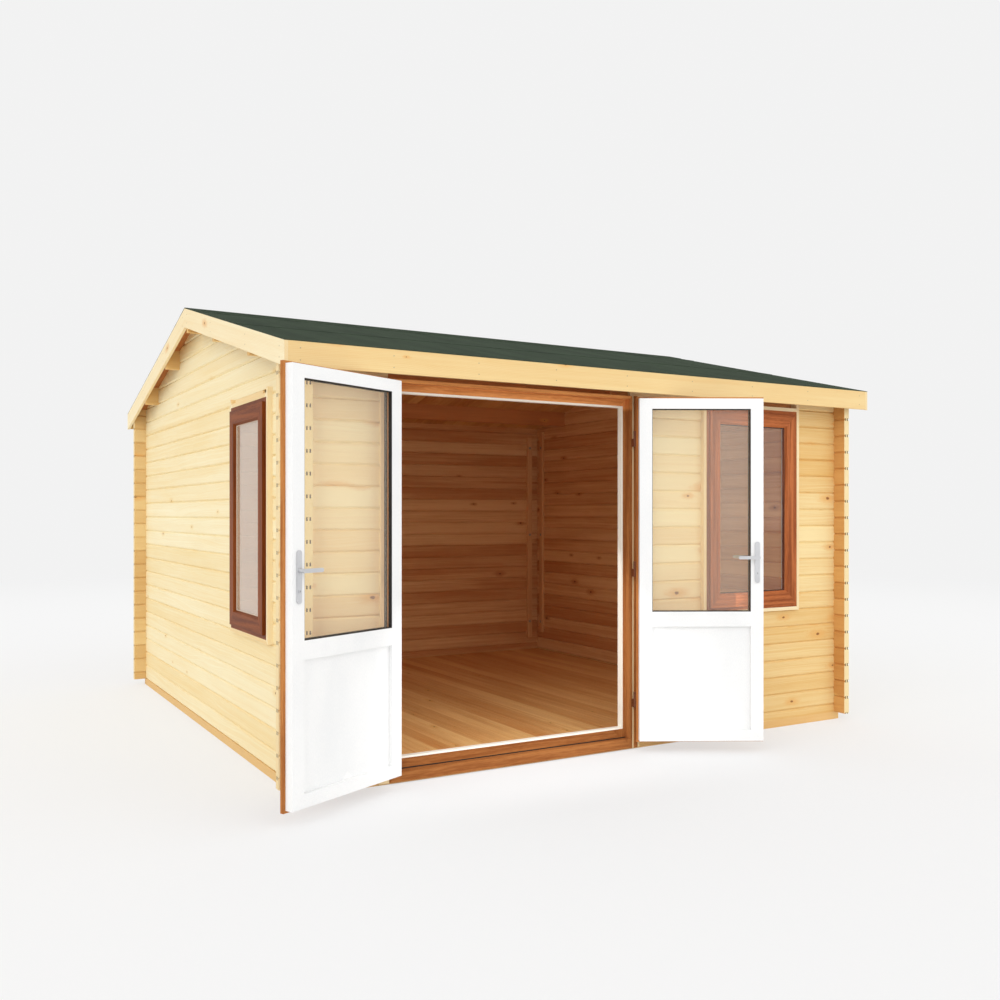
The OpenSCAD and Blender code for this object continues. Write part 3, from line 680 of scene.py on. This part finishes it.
# %% Felt material
FELT_TONES, STREAK = (screen(58, 72, 54), screen(34, 46, 32)), 0.35
felt, shader, place, _ = new_material("green mineral felt", 0.1)
down, square, sideways = slope_axes(place)
streaked = joined(times(down, STREAK), square, sideways)
coat(shader, speckle(streaked, FELT_TONES, per_metre=620.0, slow=0.45, gloss=0.8), FELT_RELIEF)
dress(felt, "front_roof_felt", "rear_roof_felt")

# %% [markdown]
# ## Metal, paint and rubber
# Levers and handle plates are satin silver, the hinges are painted brown, seals are black or pale
# rubber, and nails and bolts are zinc. All take their fine variation from the speckle group; only
# colour, gloss, grain, relief and metal differ, in that order below.

# %% Small materials
def speckled(name, light, dark, gloss, per_metre, relief, metal=0.0):
    """A plain finish with fine speckle in colour, gloss and relief."""
    material, shader, place, _ = new_material(name)
    feed(shader, {"Metallic": metal})
    tones = screen(*light), screen(*dark)
    coat(shader, speckle(place, tones, per_metre, slow=0.5, gloss=gloss), relief)
    return material


satin, brown_paint, rubber_and_hole_shade, pale_rubber, zinc, dark_zinc = (speckled(*finish) for finish in (
    ("satin silver", (226, 226, 228), (200, 201, 204), 0.22, 900.0, 0.00003, 1.0),
    ("hinge brown paint", (122, 66, 34), (92, 48, 24), 0.35, 700.0, 0.00005),
    # The black rubber also marks the keyholes, as painted shade for the holes.
    ("black rubber seal", (38, 30, 27), (22, 18, 17), 0.6, 500.0, 0.00008),
    ("pale grey seal", (226, 208, 186), (206, 188, 168), 0.6, 500.0, 0.00008),
    ("dull zinc", (196, 180, 148), (166, 150, 120), 0.6, 800.0, 0.00004, 0.3),
    ("weathered zinc", (92, 100, 88), (64, 72, 60), 0.7, 800.0, 0.00004, 0.3)))
dress(satin, "left_levers", "right_levers", "left_leaf_plates", "right_leaf_plates")
dress(brown_paint, "left_leaf_hinges", "right_leaf_hinges", "hinge_brackets")

# %% [markdown]
# ## Glass
# A pane lets the view through and mirrors more as the view gets flatter. A Principled shader with
# transmission does both, and a little less than full clearness with a warm tone gives a film of
# dust. Light has to get into the room through it, so for shadow and diffuse rays the pane turns to
# plain transparency.

# %% Glass material
CLEAR = (1.0, 1.0, 0.99, 1.0), (0.985, 0.985, 0.97, 1.0)
FAINT_DUST = (1.0, 0.935, 0.81, 1.0), (0.985, 0.915, 0.79, 1.0)
DUSTY = (1.0, 0.83, 0.62, 1.0), (0.97, 0.79, 0.58, 1.0)
PLAIN_BEND, COATED_BEND, SMEAR = 1.42, 2.2, 0.02
PASSING_TINT = (0.98, 0.985, 0.98, 1.0)


def glass_material(name, bend, clearness=1.0, tones=CLEAR):
    """Glass with a refractive index; a dusty pane is less clear and has warmer tones."""
    material, shader, place, _ = new_material(name)
    film = speckle(place, tones, per_metre=60.0, slow=0.8, gloss=0.0)
    feed(shader, {"Base Color": film["Color"], "Roughness": times(film["Roughness"], SMEAR),
                  "Transmission Weight": clearness, "IOR": bend})
    path = put("LightPath", {}).outputs
    passing = larger(path["Is Shadow Ray"], path["Is Diffuse Ray"])
    show_mix(passing, shader, put("BsdfTransparent", {"Color": PASSING_TINT}))
    return material


dress(glass_material("leaf glass", PLAIN_BEND, 0.93, FAINT_DUST),
      "left_leaf_glass", "right_leaf_glass")
dress(glass_material("clear sealed glass", PLAIN_BEND), "front_window_glass")
dress(glass_material("coated sealed glass", COATED_BEND, 0.85, DUSTY), "left_window_glass")

# %% [markdown]
# ## Tools for new pieces
# Boards, seals and fasteners are new meshes. Three builders make most of them: a skin over rings
# of points, a mitred ring with any section for seals, and a turned head for screws and nails. Each
# piece is hung on the body that carries it, so it moves with the doors.

# %% Mesh helpers
def skin(bm, rings):
    """Joins rings of points into a closed bar with capped ends."""
    rows = [[bm.verts.new(point) for point in ring] for ring in rings]
    for low, high in zip(rows, rows[1:]):
        for i in range(len(low)):
            j = (i + 1) % len(low)
            bm.faces.new((low[i], low[j], high[j], high[i]))
    bm.faces.new(rows[0][::-1])
    bm.faces.new(rows[-1])


def mitred_ring(bm, rect, section, to_world):
    """A closed section (inset, depth) swept round a rectangle (u0, u1, v0, v1)."""
    u0, u1, v0, v1 = rect
    rows = []
    for inset, depth in section:
        corners = ((u0 + inset, v0 + inset), (u1 - inset, v0 + inset),
                   (u1 - inset, v1 - inset), (u0 + inset, v1 - inset))
        rows.append([bm.verts.new(to_world(u, v, depth)) for u, v in corners])
    for first, second in zip(rows, rows[1:] + rows[:1]):
        for j in range(4):
            k = (j + 1) % 4
            bm.faces.new((first[j], first[k], second[k], second[j]))


def turned_head(bm, centre, axis, profile, sides):
    """A head turned about an axis from (radius, height) points, closed at both ends."""
    turn = Vector((0, 0, 1)).rotation_difference(Vector(axis).normalized()).to_matrix()
    spokes = [2 * math.pi * i / sides for i in range(sides)]
    skin(bm, [[turn @ Vector((radius * math.cos(a), radius * math.sin(a), height)) + Vector(centre)
               for a in spokes] for radius, height in profile])


def new_piece(name, build, body, material, replaced=()):
    """Makes one mesh piece, hangs it on a body and hides the nodes it stands for."""
    bm = bmesh.new()
    build(bm)
    bmesh.ops.recalc_face_normals(bm, faces=bm.faces)
    mesh = bpy.data.meshes.new(name)
    bm.to_mesh(mesh)
    bm.free()
    mesh.materials.append(material)
    piece = place_object(name, mesh)
    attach(piece, body)
    if replaced:
        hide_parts(*replaced)
    print(name, "with", len(mesh.polygons), "faces on", body)


def board_edges(low, high, count, gap):
    """The two edges of each of a row of boards, with a gap at each joint."""
    width = (high - low) / count
    return [(low + i * width + gap, low + (i + 1) * width - gap) for i in range(count)]


print("mesh helpers ready")

# %% [markdown]
# ## Floor boards
# The floor is tongued boards laid front to back on the joists. From above they show as a row of
# narrow strips with a small rounded edge at each joint. One slab with painted lines would look
# flat from the doorway, so each board is its own bar with eased top edges, in the space of the
# floor deck.

# %% Floor boards
FLOOR_BOARDS, FLOOR_EASE, FLOOR_GAP = 39, 0.0030, 0.0007
FLOOR_TONES = screen(254, 208, 138), screen(218, 150, 84)
deck_low, deck_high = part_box("floor_deck")
board_w = (deck_high.x - deck_low.x) / FLOOR_BOARDS


def lay_floor(bm):
    z0, z1, e = deck_low.z, deck_high.z, FLOOR_EASE
    for x0, x1 in board_edges(deck_low.x, deck_high.x, FLOOR_BOARDS, FLOOR_GAP):
        outline = [(x0, z0), (x1, z0), (x1, z1 - e), (x1 - 0.3 * e, z1 - 0.3 * e), (x1 - e, z1),
                   (x0 + e, z1), (x0 + 0.3 * e, z1 - 0.3 * e), (x0, z1 - e)]
        skin(bm, [[(x, y, z) for x, z in outline] for y in (deck_low.y, deck_high.y)])


floor_pine = board_material("floor pine", "Y", 83.4, FLOOR_TONES, board_w, figure=1.5)
new_piece("floor_boards", lay_floor, "cabin", floor_pine, ("floor_deck",))

# %% [markdown]
# ## Roof boards
# The roof is boarded from ridge to eaves over the purlins. Underneath, each joint shows as a small
# V-groove, which gives the ceiling and the eaves their fine lines. The boards follow the slope in
# the space of the two roof decks, with plumb ends at the ridge and the eaves.

# %% Roof boards
ROOF_BOARDS, ROOF_EASE, ROOF_GAP, BOARDING = 40, 0.004, 0.0003, 0.019
# Darker, redder tones outside the walls: painted shade on the boards under the eaves.
EAVES_SHADE_TONES = screen(212, 142, 80), screen(172, 102, 52)
CEILING_TONES = screen(230, 180, 112), screen(192, 126, 66)
roof_low, roof_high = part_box("front_roof_deck")
plumb = BOARDING / RUN
roof_w = (roof_high.x - roof_low.x) / ROOF_BOARDS
ridge_under = roof_high.z - plumb


def lay_roof(front):
    low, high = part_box("front_roof_deck" if front else "rear_roof_deck")

    def build(bm):
        e = ROOF_EASE
        for x0, x1 in board_edges(roof_low.x, roof_high.x, ROOF_BOARDS, ROOF_GAP):
            outline = [(x0, e), (x0 + e, 0), (x1 - e, 0), (x1, e), (x1, plumb), (x0, plumb)]
            skin(bm, [[(x, y, ridge_under - abs(y) * RISE / RUN + up) for x, up in outline]
                      for y in (low.y, high.y)])
    return build


# Outside the walls the boards take the darker tones, as painted shade under the eaves.
roof_pine = board_material("roof boarding pine", "slope", 97.0, EAVES_SHADE_TONES, roof_w, CEILING_TONES)
for side in ("front", "rear"):
    new_piece(side + "_roof_boards", lay_roof(side == "front"), "cabin", roof_pine,
              (side + "_roof_deck",))

# %% [markdown]
# ## Seals round the glass
# Each pane is held in rubber. From inside the open leaves it shows as a dark band in the depth of
# the rebate, and on the windows as a thin line. A small closed section is swept round each pane
# with mitred corners; on the leaves it is placed as if closed and then turned open with them.

# %% Seals
def leaf_to_world(side):
    """From closed-door place (x, z, y) to where the leaf stands in the model."""
    pivot = Vector(HINGE[side])
    turn = Matrix.Rotation(math.radians(-TURN[side]), 3, "Z")
    return lambda u, v, depth: pivot + turn @ (Vector((u, depth, v)) - pivot)


def wall_to_world(flat):
    """From a place on the front or left wall (along, up, depth) to the model."""
    return lambda u, v, depth: Vector((depth, u, v) if flat else (u, depth, v))


LEAF_GLASS = {"left": (-1.325, -0.717), "right": (-0.539, 0.037)}
GLASS_Z = (0.8245, 2.005)
LEAF_LIPS = (-1.912, 1, 0.0188), (-1.936, -1, 0.017)
BAND, PANE_BITE, WINDOW_LIP = 0.0035, 0.012, 0.0038
leaf_world = {side: leaf_to_world(side) for side in HINGE}


def pane_seals(rect, lips, to_world):
    """Builds the seals of one pane: a lip at each depth, standing out one way by proud."""
    def build(bm):
        for depth, out, proud in lips:
            tip = depth + out * proud
            section = [(0.0, depth), (0.0, tip), (BAND * 0.6, tip),
                       (BAND, tip - out * proud * 0.3), (BAND, depth)]
            mitred_ring(bm, rect, section, to_world)
    return build


for side, edges in LEAF_GLASS.items():
    new_piece(side + "_leaf_seal", pane_seals(edges + GLASS_Z, LEAF_LIPS, leaf_world[side]),
              side + "_leaf", rubber_and_hole_shade)
for side, flat, stuff in (("front", 0, rubber_and_hole_shade), ("left", 1, pale_rubber)):
    low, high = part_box(side + "_window_glass")
    rect = (low[flat] + PANE_BITE, high[flat] - PANE_BITE, low.z + PANE_BITE, high.z - PANE_BITE)
    lips = (high[1 - flat], 1, WINDOW_LIP), (low[1 - flat], -1, WINDOW_LIP)
    new_piece(side + "_window_seal", pane_seals(rect, lips, wall_to_world(flat)), "cabin", stuff)

# %% [markdown]
# ## Door gasket and cover strips, one with painted shade
# A dark gasket lies in the rebate that the leaves close into, and shows as a thin line along the
# sill. A brown foil strip covers the wall beside the frame on the right, and also stands in as
# painted shade between the frame and the open leaf. Over the left window a pale board closes most
# of the settling slot, which lets the logs shrink without resting on the frame.
# Each is a small section run along its edge, so its corners and eased edges are real.

# %% Door gasket and cover strips, one with painted shade
SILL_ENDS, SILL_LEDGE = (-1.4047, 0.1167), 0.065
GASKET = [(-1.8862, 0.0003), (-1.8893, 0.0003), (-1.8895, 0.0036), (-1.8878, 0.0052),
          (-1.8862, 0.0052)]
STRIP_AT, STRIP_W, STRIP_T, STRIP_EASE, STRIP_FOOT = 0.012, 0.024, 0.012, 0.003, 0.002
HAIR = 0.0002
SLOT_H, OPEN_END, SLOT_EASE = 0.0297, 0.135, 0.0015
SLOT_SIDE, SLOT_UNDER, SLOT_OVER = 0.0225, 0.0012, 0.0015
BOARD_X, PACKING_X = (-1.9135, -1.9015), (-1.892, -1.874)


def lay_gasket(bm):
    skin(bm, [[(x, y, SILL_LEDGE + up) for y, up in GASKET] for x in SILL_ENDS])


def eased(a0, a1, b0, b1, ease):
    """A rectangle in two axes with eased corners."""
    return [(a0 + ease, b0), (a1 - ease, b0), (a1, b0 + ease), (a1, b1 - ease),
            (a1 - ease, b1), (a0 + ease, b1), (a0, b1 - ease), (a0, b0 + ease)]


new_piece("door_gasket", lay_gasket, "cabin", rubber_and_hole_shade)
frame_low, frame_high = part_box("door_frame")
casing_low, casing_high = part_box("door_casing")
strip_x = frame_high.x + STRIP_AT
strip = eased(strip_x, strip_x + STRIP_W, casing_low.y - STRIP_T, casing_low.y - HAIR, STRIP_EASE)
slot_low, slot_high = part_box("left_window_casing")
slot_ends = slot_low.y + SLOT_SIDE, slot_high.y - SLOT_SIDE


def stand_strip(bm):
    skin(bm, [[(x, y, z) for x, y in strip] for z in (frame_low.z + STRIP_FOOT, frame_high.z)])


def close_slot(bm):
    """A board that leaves one end of the slot open, and packing behind it."""
    for (x0, x1), open_end in ((BOARD_X, OPEN_END), (PACKING_X, 0.0)):
        section = eased(x0, x1, slot_high.z - SLOT_H + SLOT_UNDER, slot_high.z - SLOT_OVER,
                        SLOT_EASE)
        skin(bm, [[(x, y, z) for x, z in section] for y in (slot_ends[0] + open_end, slot_ends[1])])


# The brown strip is partly a cover trim and partly painted shade between the frame and the leaf.
cover_and_shade_foil = plastic_material("cover and shade strip foil", 0, door_middle, (NARROW, door_half[1]), 0.0,
                              FRAME_SHADE_FOIL)
new_piece("door_cover_and_shade_strip", stand_strip, "cabin", cover_and_shade_foil)
slot_pine = board_material("slot board pine", "Y", 131.0)
new_piece("left_window_slot_board", close_slot, "cabin", slot_pine)

# %% [markdown]
# ## Felt laps and ridge cap
# Roofing felt comes in metre-wide rolls. Each row laps over the one below, and a folded strip caps
# the ridge. The laps show as low steps along the roof, and their edges are never quite straight.
# Thin wedges with a slightly wavy lower edge lie on the felt, so that the steps catch the light.

# %% Felt laps and ridge cap
random.seed(14)
felt_low, felt_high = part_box("front_roof_felt")
LAPS, LAP_W, LAP_T, LAP_LIP, LAP_TAIL = (1.187, 0.314), 0.10, 0.0018, 0.01, 0.0003
CAP_HALF, CAP_LIP, CAP_T, CAP_CROWN = 0.15, 0.012, 0.0022, 0.0024
FOOT, WAVES, STRAY = 0.0001, 28, 0.0025


def on_felt(x, y, lift):
    """A point on the felt at a plan place, lifted off it."""
    return Vector((x, y, felt_high.z - abs(y) * RISE / RUN + lift))


def wavy(bm, section):
    """Runs a (y, lift, wave) section along the roof, where wave lets a point stray."""
    rings = []
    for i in range(WAVES + 1):
        x = felt_low.x + (felt_high.x - felt_low.x) * i / WAVES
        stray = random.uniform(-STRAY, STRAY)
        rings.append([on_felt(x, y + wave * stray, lift) for y, lift, wave in section])
    skin(bm, rings)


def lay_laps(bm):
    for at in LAPS:
        for s in (-1, 1):
            wavy(bm, [(s * at, FOOT, s), (s * at, LAP_T, s), (s * (at - LAP_LIP), LAP_T, s),
                      (s * (at - LAP_W), LAP_TAIL, 0), (s * (at - LAP_W), FOOT, 0)])
    edge = CAP_HALF - CAP_LIP
    wavy(bm, [(-CAP_HALF, FOOT, 1), (-CAP_HALF, LAP_T, 1), (-edge, CAP_T, 1), (0, CAP_CROWN, 0),
              (edge, CAP_T, 1), (CAP_HALF, LAP_T, 1), (CAP_HALF, FOOT, 1), (0, FOOT, 0)])


new_piece("felt_laps", lay_laps, "cabin", felt)

# %% [markdown]
# ## Nails and bolts
# Broad-headed clout nails hold the felt along its edges and laps, smaller nails hold the fascias,
# barge boards and door casings, and a bolt with a washer holds each storm batten in a slot. All
# are turned heads: a short profile spun about the nail's axis, placed at real spacings.

# %% Felt nails
CLOUT = [(0.0055, 0.0), (0.0055, 0.0007), (0.0040, 0.0013), (0.0015, 0.0015)]
CLOUT_GAP, CLOUT_IN, VERGE_IN, EAVES_ROW, LAP_ROW_LIFT = 0.15, 0.03, 0.018, 2.04, 0.0013
VERGE_SPANS = (0.22, 1.10), (1.24, 1.98)


def spaced(low, high, gap):
    """Even places from low to high, about a gap apart."""
    count = max(1, round((high - low) / gap))
    return [low + (high - low) * i / count for i in range(count + 1)]


def heads(name, places, profile, body, material, sides=10):
    """One piece with a turned head at each (centre, axis)."""
    def build(bm):
        for centre, axis in places:
            turned_head(bm, centre, axis, profile, sides)
    new_piece(name, build, body, material)


clouts = []
for s in (-1, 1):
    tilt = (0, s * RISE, RUN)
    for y, lift in ((EAVES_ROW, 0), (LAPS[0] - CLOUT_IN, LAP_ROW_LIFT),
                    (LAPS[1] - CLOUT_IN, LAP_ROW_LIFT), (CAP_HALF - CLOUT_IN, CAP_T)):
        clouts += [(on_felt(x, s * y, lift), tilt)
                   for x in spaced(felt_low.x + CLOUT_IN, felt_high.x - CLOUT_IN, CLOUT_GAP)]
    for x in (felt_low.x + VERGE_IN, felt_high.x - VERGE_IN):
        clouts += [(on_felt(x, s * y, 0), tilt)
                   for span in VERGE_SPANS for y in spaced(*span, CLOUT_GAP)]
heads("felt_nails", clouts, CLOUT, "cabin", dark_zinc, 8)

# %% Board nails and batten bolts
NAIL = [(0.0030, 0.0), (0.0030, 0.0005), (0.0022, 0.0009), (0.0008, 0.0011)]
BOLT = [(0.0125, 0.0), (0.0125, 0.0014), (0.0088, 0.0016), (0.0086, 0.0030), (0.0062, 0.0055),
        (0.002, 0.0064)]
NAIL_IN, FASCIA_GAP, FASCIA_ROWS, CASING_GAP = 0.06, 0.48, (-0.032, 0.026), 0.39
PURLIN_Y, BARGE_ROWS = (0.06, 0.664, 1.395, 1.98), (0.036, 0.090)
BATTEN_AT, BATTEN_FACE, BOLT_IN = 1.763, 1.8407, 0.16
nails = []
for node, out in (("front_fascia", -1), ("rear_fascia", 1)):
    low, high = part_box(node)
    face = low.y if out < 0 else high.y
    nails += [((x, face, (low.z + high.z) / 2 + up), (0, out, 0))
              for x in spaced(low.x + NAIL_IN, high.x - NAIL_IN, FASCIA_GAP) for up in FASCIA_ROWS]
for node, out in (("left_barge_boards", -1), ("right_barge_boards", 1)):
    low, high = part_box(node)
    face = low.x if out < 0 else high.x
    nails += [((face, s * y, high.z - y * RISE / RUN - down), (out, 0, 0))
              for y in PURLIN_Y for s in (-1, 1) for down in BARGE_ROWS]
boards_x = sorted({round(v.co.x, 4) for v in nodes["door_casing"].data.vertices})
for x in ((boards_x[0] + boards_x[1]) / 2, (boards_x[-2] + boards_x[-1]) / 2):
    nails += [((x, casing_low.y, z), (0, -1, 0))
              for z in spaced(casing_low.z + NAIL_IN, casing_high.z - NAIL_IN, CASING_GAP)]
heads("board_nails", nails, NAIL, "cabin", zinc)

low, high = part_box("storm_battens")
bolts = []
for z in (low.z + BOLT_IN, (low.z + high.z) / 2, high.z - BOLT_IN):
    for s in (-1, 1):
        bolts += [((s * BATTEN_AT, BATTEN_FACE, z), (0, -1, 0)),
                  ((s * BATTEN_FACE, BATTEN_AT, z), (-s, 0, 0))]
heads("batten_bolts", bolts, BOLT, "cabin", zinc, 16)

# %% [markdown]
# ## Screws and keyholes on the leaves
# The hinge plates and handle plates are screwed on, with a small recess in each head for the
# driver. Below each lever the lock cylinder has a keyhole, drawn as a thin dark plug: painted
# shade for the hole. They are placed as if the leaf were closed and then turned open with it, and
# they ride on the leaf.

# %% Screws and keyholes
SCREW = [(0.0036, 0.0), (0.0036, 0.0004), (0.0029, 0.0010), (0.0015, 0.0012), (0.0012, 0.0004)]
HINGE_Z, HINGE_FACE, HINGE_UP = (0.301, 1.0685, 1.836), -1.9603, 0.022
HINGE_HOLES, PLATE_HOLES = (0.016, 0.034), (1.006, 1.218)
PLATE_IN, PLATE_OUT = -1.8837, -1.9643
LOCK_Z, LOCK_PROUD = 1.048, 0.004
LEVER_X, INTO_LEAF = {"left": -0.680, "right": -0.576}, {"left": 1, "right": -1}
KEY_R, KEY_UP, KEY_SLOT, KEY_DOWN, KEY_T = 0.0016, 0.0025, 0.0006, -0.0055, 0.00025


def keyhole_shade(bm, to_world, x, depth, out):
    """A round hole with a slot below, as a thin dark plug on the lock's face: painted shade."""
    shape = [(KEY_R * math.cos(a), KEY_R * math.sin(a) + KEY_UP)
             for a in [math.radians(-60 + 30 * i) for i in range(11)]]
    shape += [(-KEY_SLOT, KEY_DOWN), (KEY_SLOT, KEY_DOWN)]
    skin(bm, [[to_world(x + u, LOCK_Z + v, depth + out * up) for u, v in shape]
              for up in (0.0, KEY_T)])


for side, to_world in leaf_world.items():
    inward = to_world(0, 0, 1) - to_world(0, 0, 0)
    lever, into, leaf = LEVER_X[side], INTO_LEAF[side], side + "_leaf"
    hinge_screws = [(to_world(HINGE[side][0] + into * x, z + HINGE_UP, HINGE_FACE), -inward)
                    for z in HINGE_Z for x in HINGE_HOLES]
    plate_screws = [(to_world(lever, z, depth), out * inward) for z in PLATE_HOLES
                    for depth, out in ((PLATE_IN, 1), (PLATE_OUT, -1))]
    heads(side + "_hinge_screws", hinge_screws, SCREW, leaf, brown_paint, 12)
    heads(side + "_plate_screws", plate_screws, SCREW, leaf, satin, 12)

    def paint_keyhole_shade(bm):
        keyhole_shade(bm, to_world, lever, PLATE_IN + LOCK_PROUD, 1)
        keyhole_shade(bm, to_world, lever, PLATE_OUT - LOCK_PROUD, -1)
    # The keyholes' black rubber is painted shade for the holes.
    new_piece(side + "_keyhole_shade", paint_keyhole_shade, leaf, rubber_and_hole_shade)

# %% [markdown]
# ## Stage
# The cabin stands on a pale floor without a visible edge. The camera, mirrors and glass see one
# pale tone behind it all, and the floor fades into that tone with distance while it keeps the
# cabin's soft shadow. A floor lit only by lamps would turn darker far away.

# %% Stage floor
BACK_TONE, FLOOR_TONE, SPAN = 0.89, 0.935, 60.0
TONE_FADE, GLOW_FADE, NEAR_GLOW = (6.0, 18.0), (5.0, 16.0), 0.60


def seen_rays():
    """One for rays that start at the camera, a mirror or a pane."""
    path = put("LightPath", {}).outputs
    seen = larger(path["Is Camera Ray"], path["Is Glossy Ray"])
    return larger(seen, path["Is Transmission Ray"])


mesh = bpy.data.meshes.new("studio_floor")
mesh.from_pydata([(-SPAN, -SPAN, 0), (SPAN, -SPAN, 0), (SPAN, SPAN, 0), (-SPAN, SPAN, 0)], [],
                 [(0, 1, 2, 3)])
studio_floor = place_object("studio_floor", mesh)
floor_paint, shader, place, _ = new_material("studio floor", 0.0)
feed(shader, {"Base Color": (0.9, 0.9, 0.9, 1.0), "Roughness": 0.9})
away = length(place)
tone = remap(away, *TONE_FADE, FLOOR_TONE, BACK_TONE)
glow = put("Emission", {"Color": joined(tone, tone, tone), "Strength": 1.0})
share = times(seen_rays(), remap(away, *GLOW_FADE, NEAR_GLOW, 1.0))
show_mix(share, shader, glow)
mesh.materials.append(floor_paint)
print("stage floor", 2 * SPAN, "m square")

# %% [markdown]
# ## Light
# The light is even, as in a studio, and brightest from the front left: a wide soft sun, a fill
# from the front right and a white surround. Weak lamps in the doorway and behind the front window,
# unseen themselves, lift the room a little, as the photo shows it.

# %% World and lamps
ROOM_LIGHT = 0.84
SUNS = (("soft_sun", 0.74, 50, (0.70, 0.46, -0.55)), ("front_fill", 0.64, 80, (-0.42, 0.86, -0.28)))
PANELS = (("doorway_lamp", 6.5, (1.36, 1.80), (-0.644, -1.96, 1.08), (0, 1, -0.75)),
          ("window_lamp", 1.8, (0.50, 1.10), (0.88, -1.82, 1.36), (1.0, 0.6, -0.05)))


def hang_lamp(name, lamp, aim):
    """Puts a lamp in the scene so that it shines along a direction."""
    holder = place_object(name, lamp)
    holder.rotation_euler = Vector(aim).to_track_quat("-Z", "Y").to_euler()
    print(name, "at", round(lamp.energy, 2))
    return holder


world = bpy.data.worlds.new("studio")
world.use_nodes = True
bpy.context.scene.world = world
work_on(world.node_tree)
strength = blend(seen_rays(), ROOM_LIGHT, BACK_TONE)
feed(bench.nodes["Background"], {"Color": (1.0, 1.0, 1.0, 1.0), "Strength": strength})
for name, energy, width, aim in SUNS:
    lamp = bpy.data.lights.new(name, "SUN")
    lamp.energy, lamp.angle = energy, math.radians(width)
    hang_lamp(name, lamp, aim)
for name, watts, (wide, tall), place, aim in PANELS:
    lamp = bpy.data.lights.new(name, "AREA")
    lamp.shape, lamp.size, lamp.size_y, lamp.energy = "RECTANGLE", wide, tall, watts
    panel = hang_lamp(name, lamp, aim)
    panel.location = place
    panel.visible_camera = panel.visible_glossy = panel.visible_transmission = False
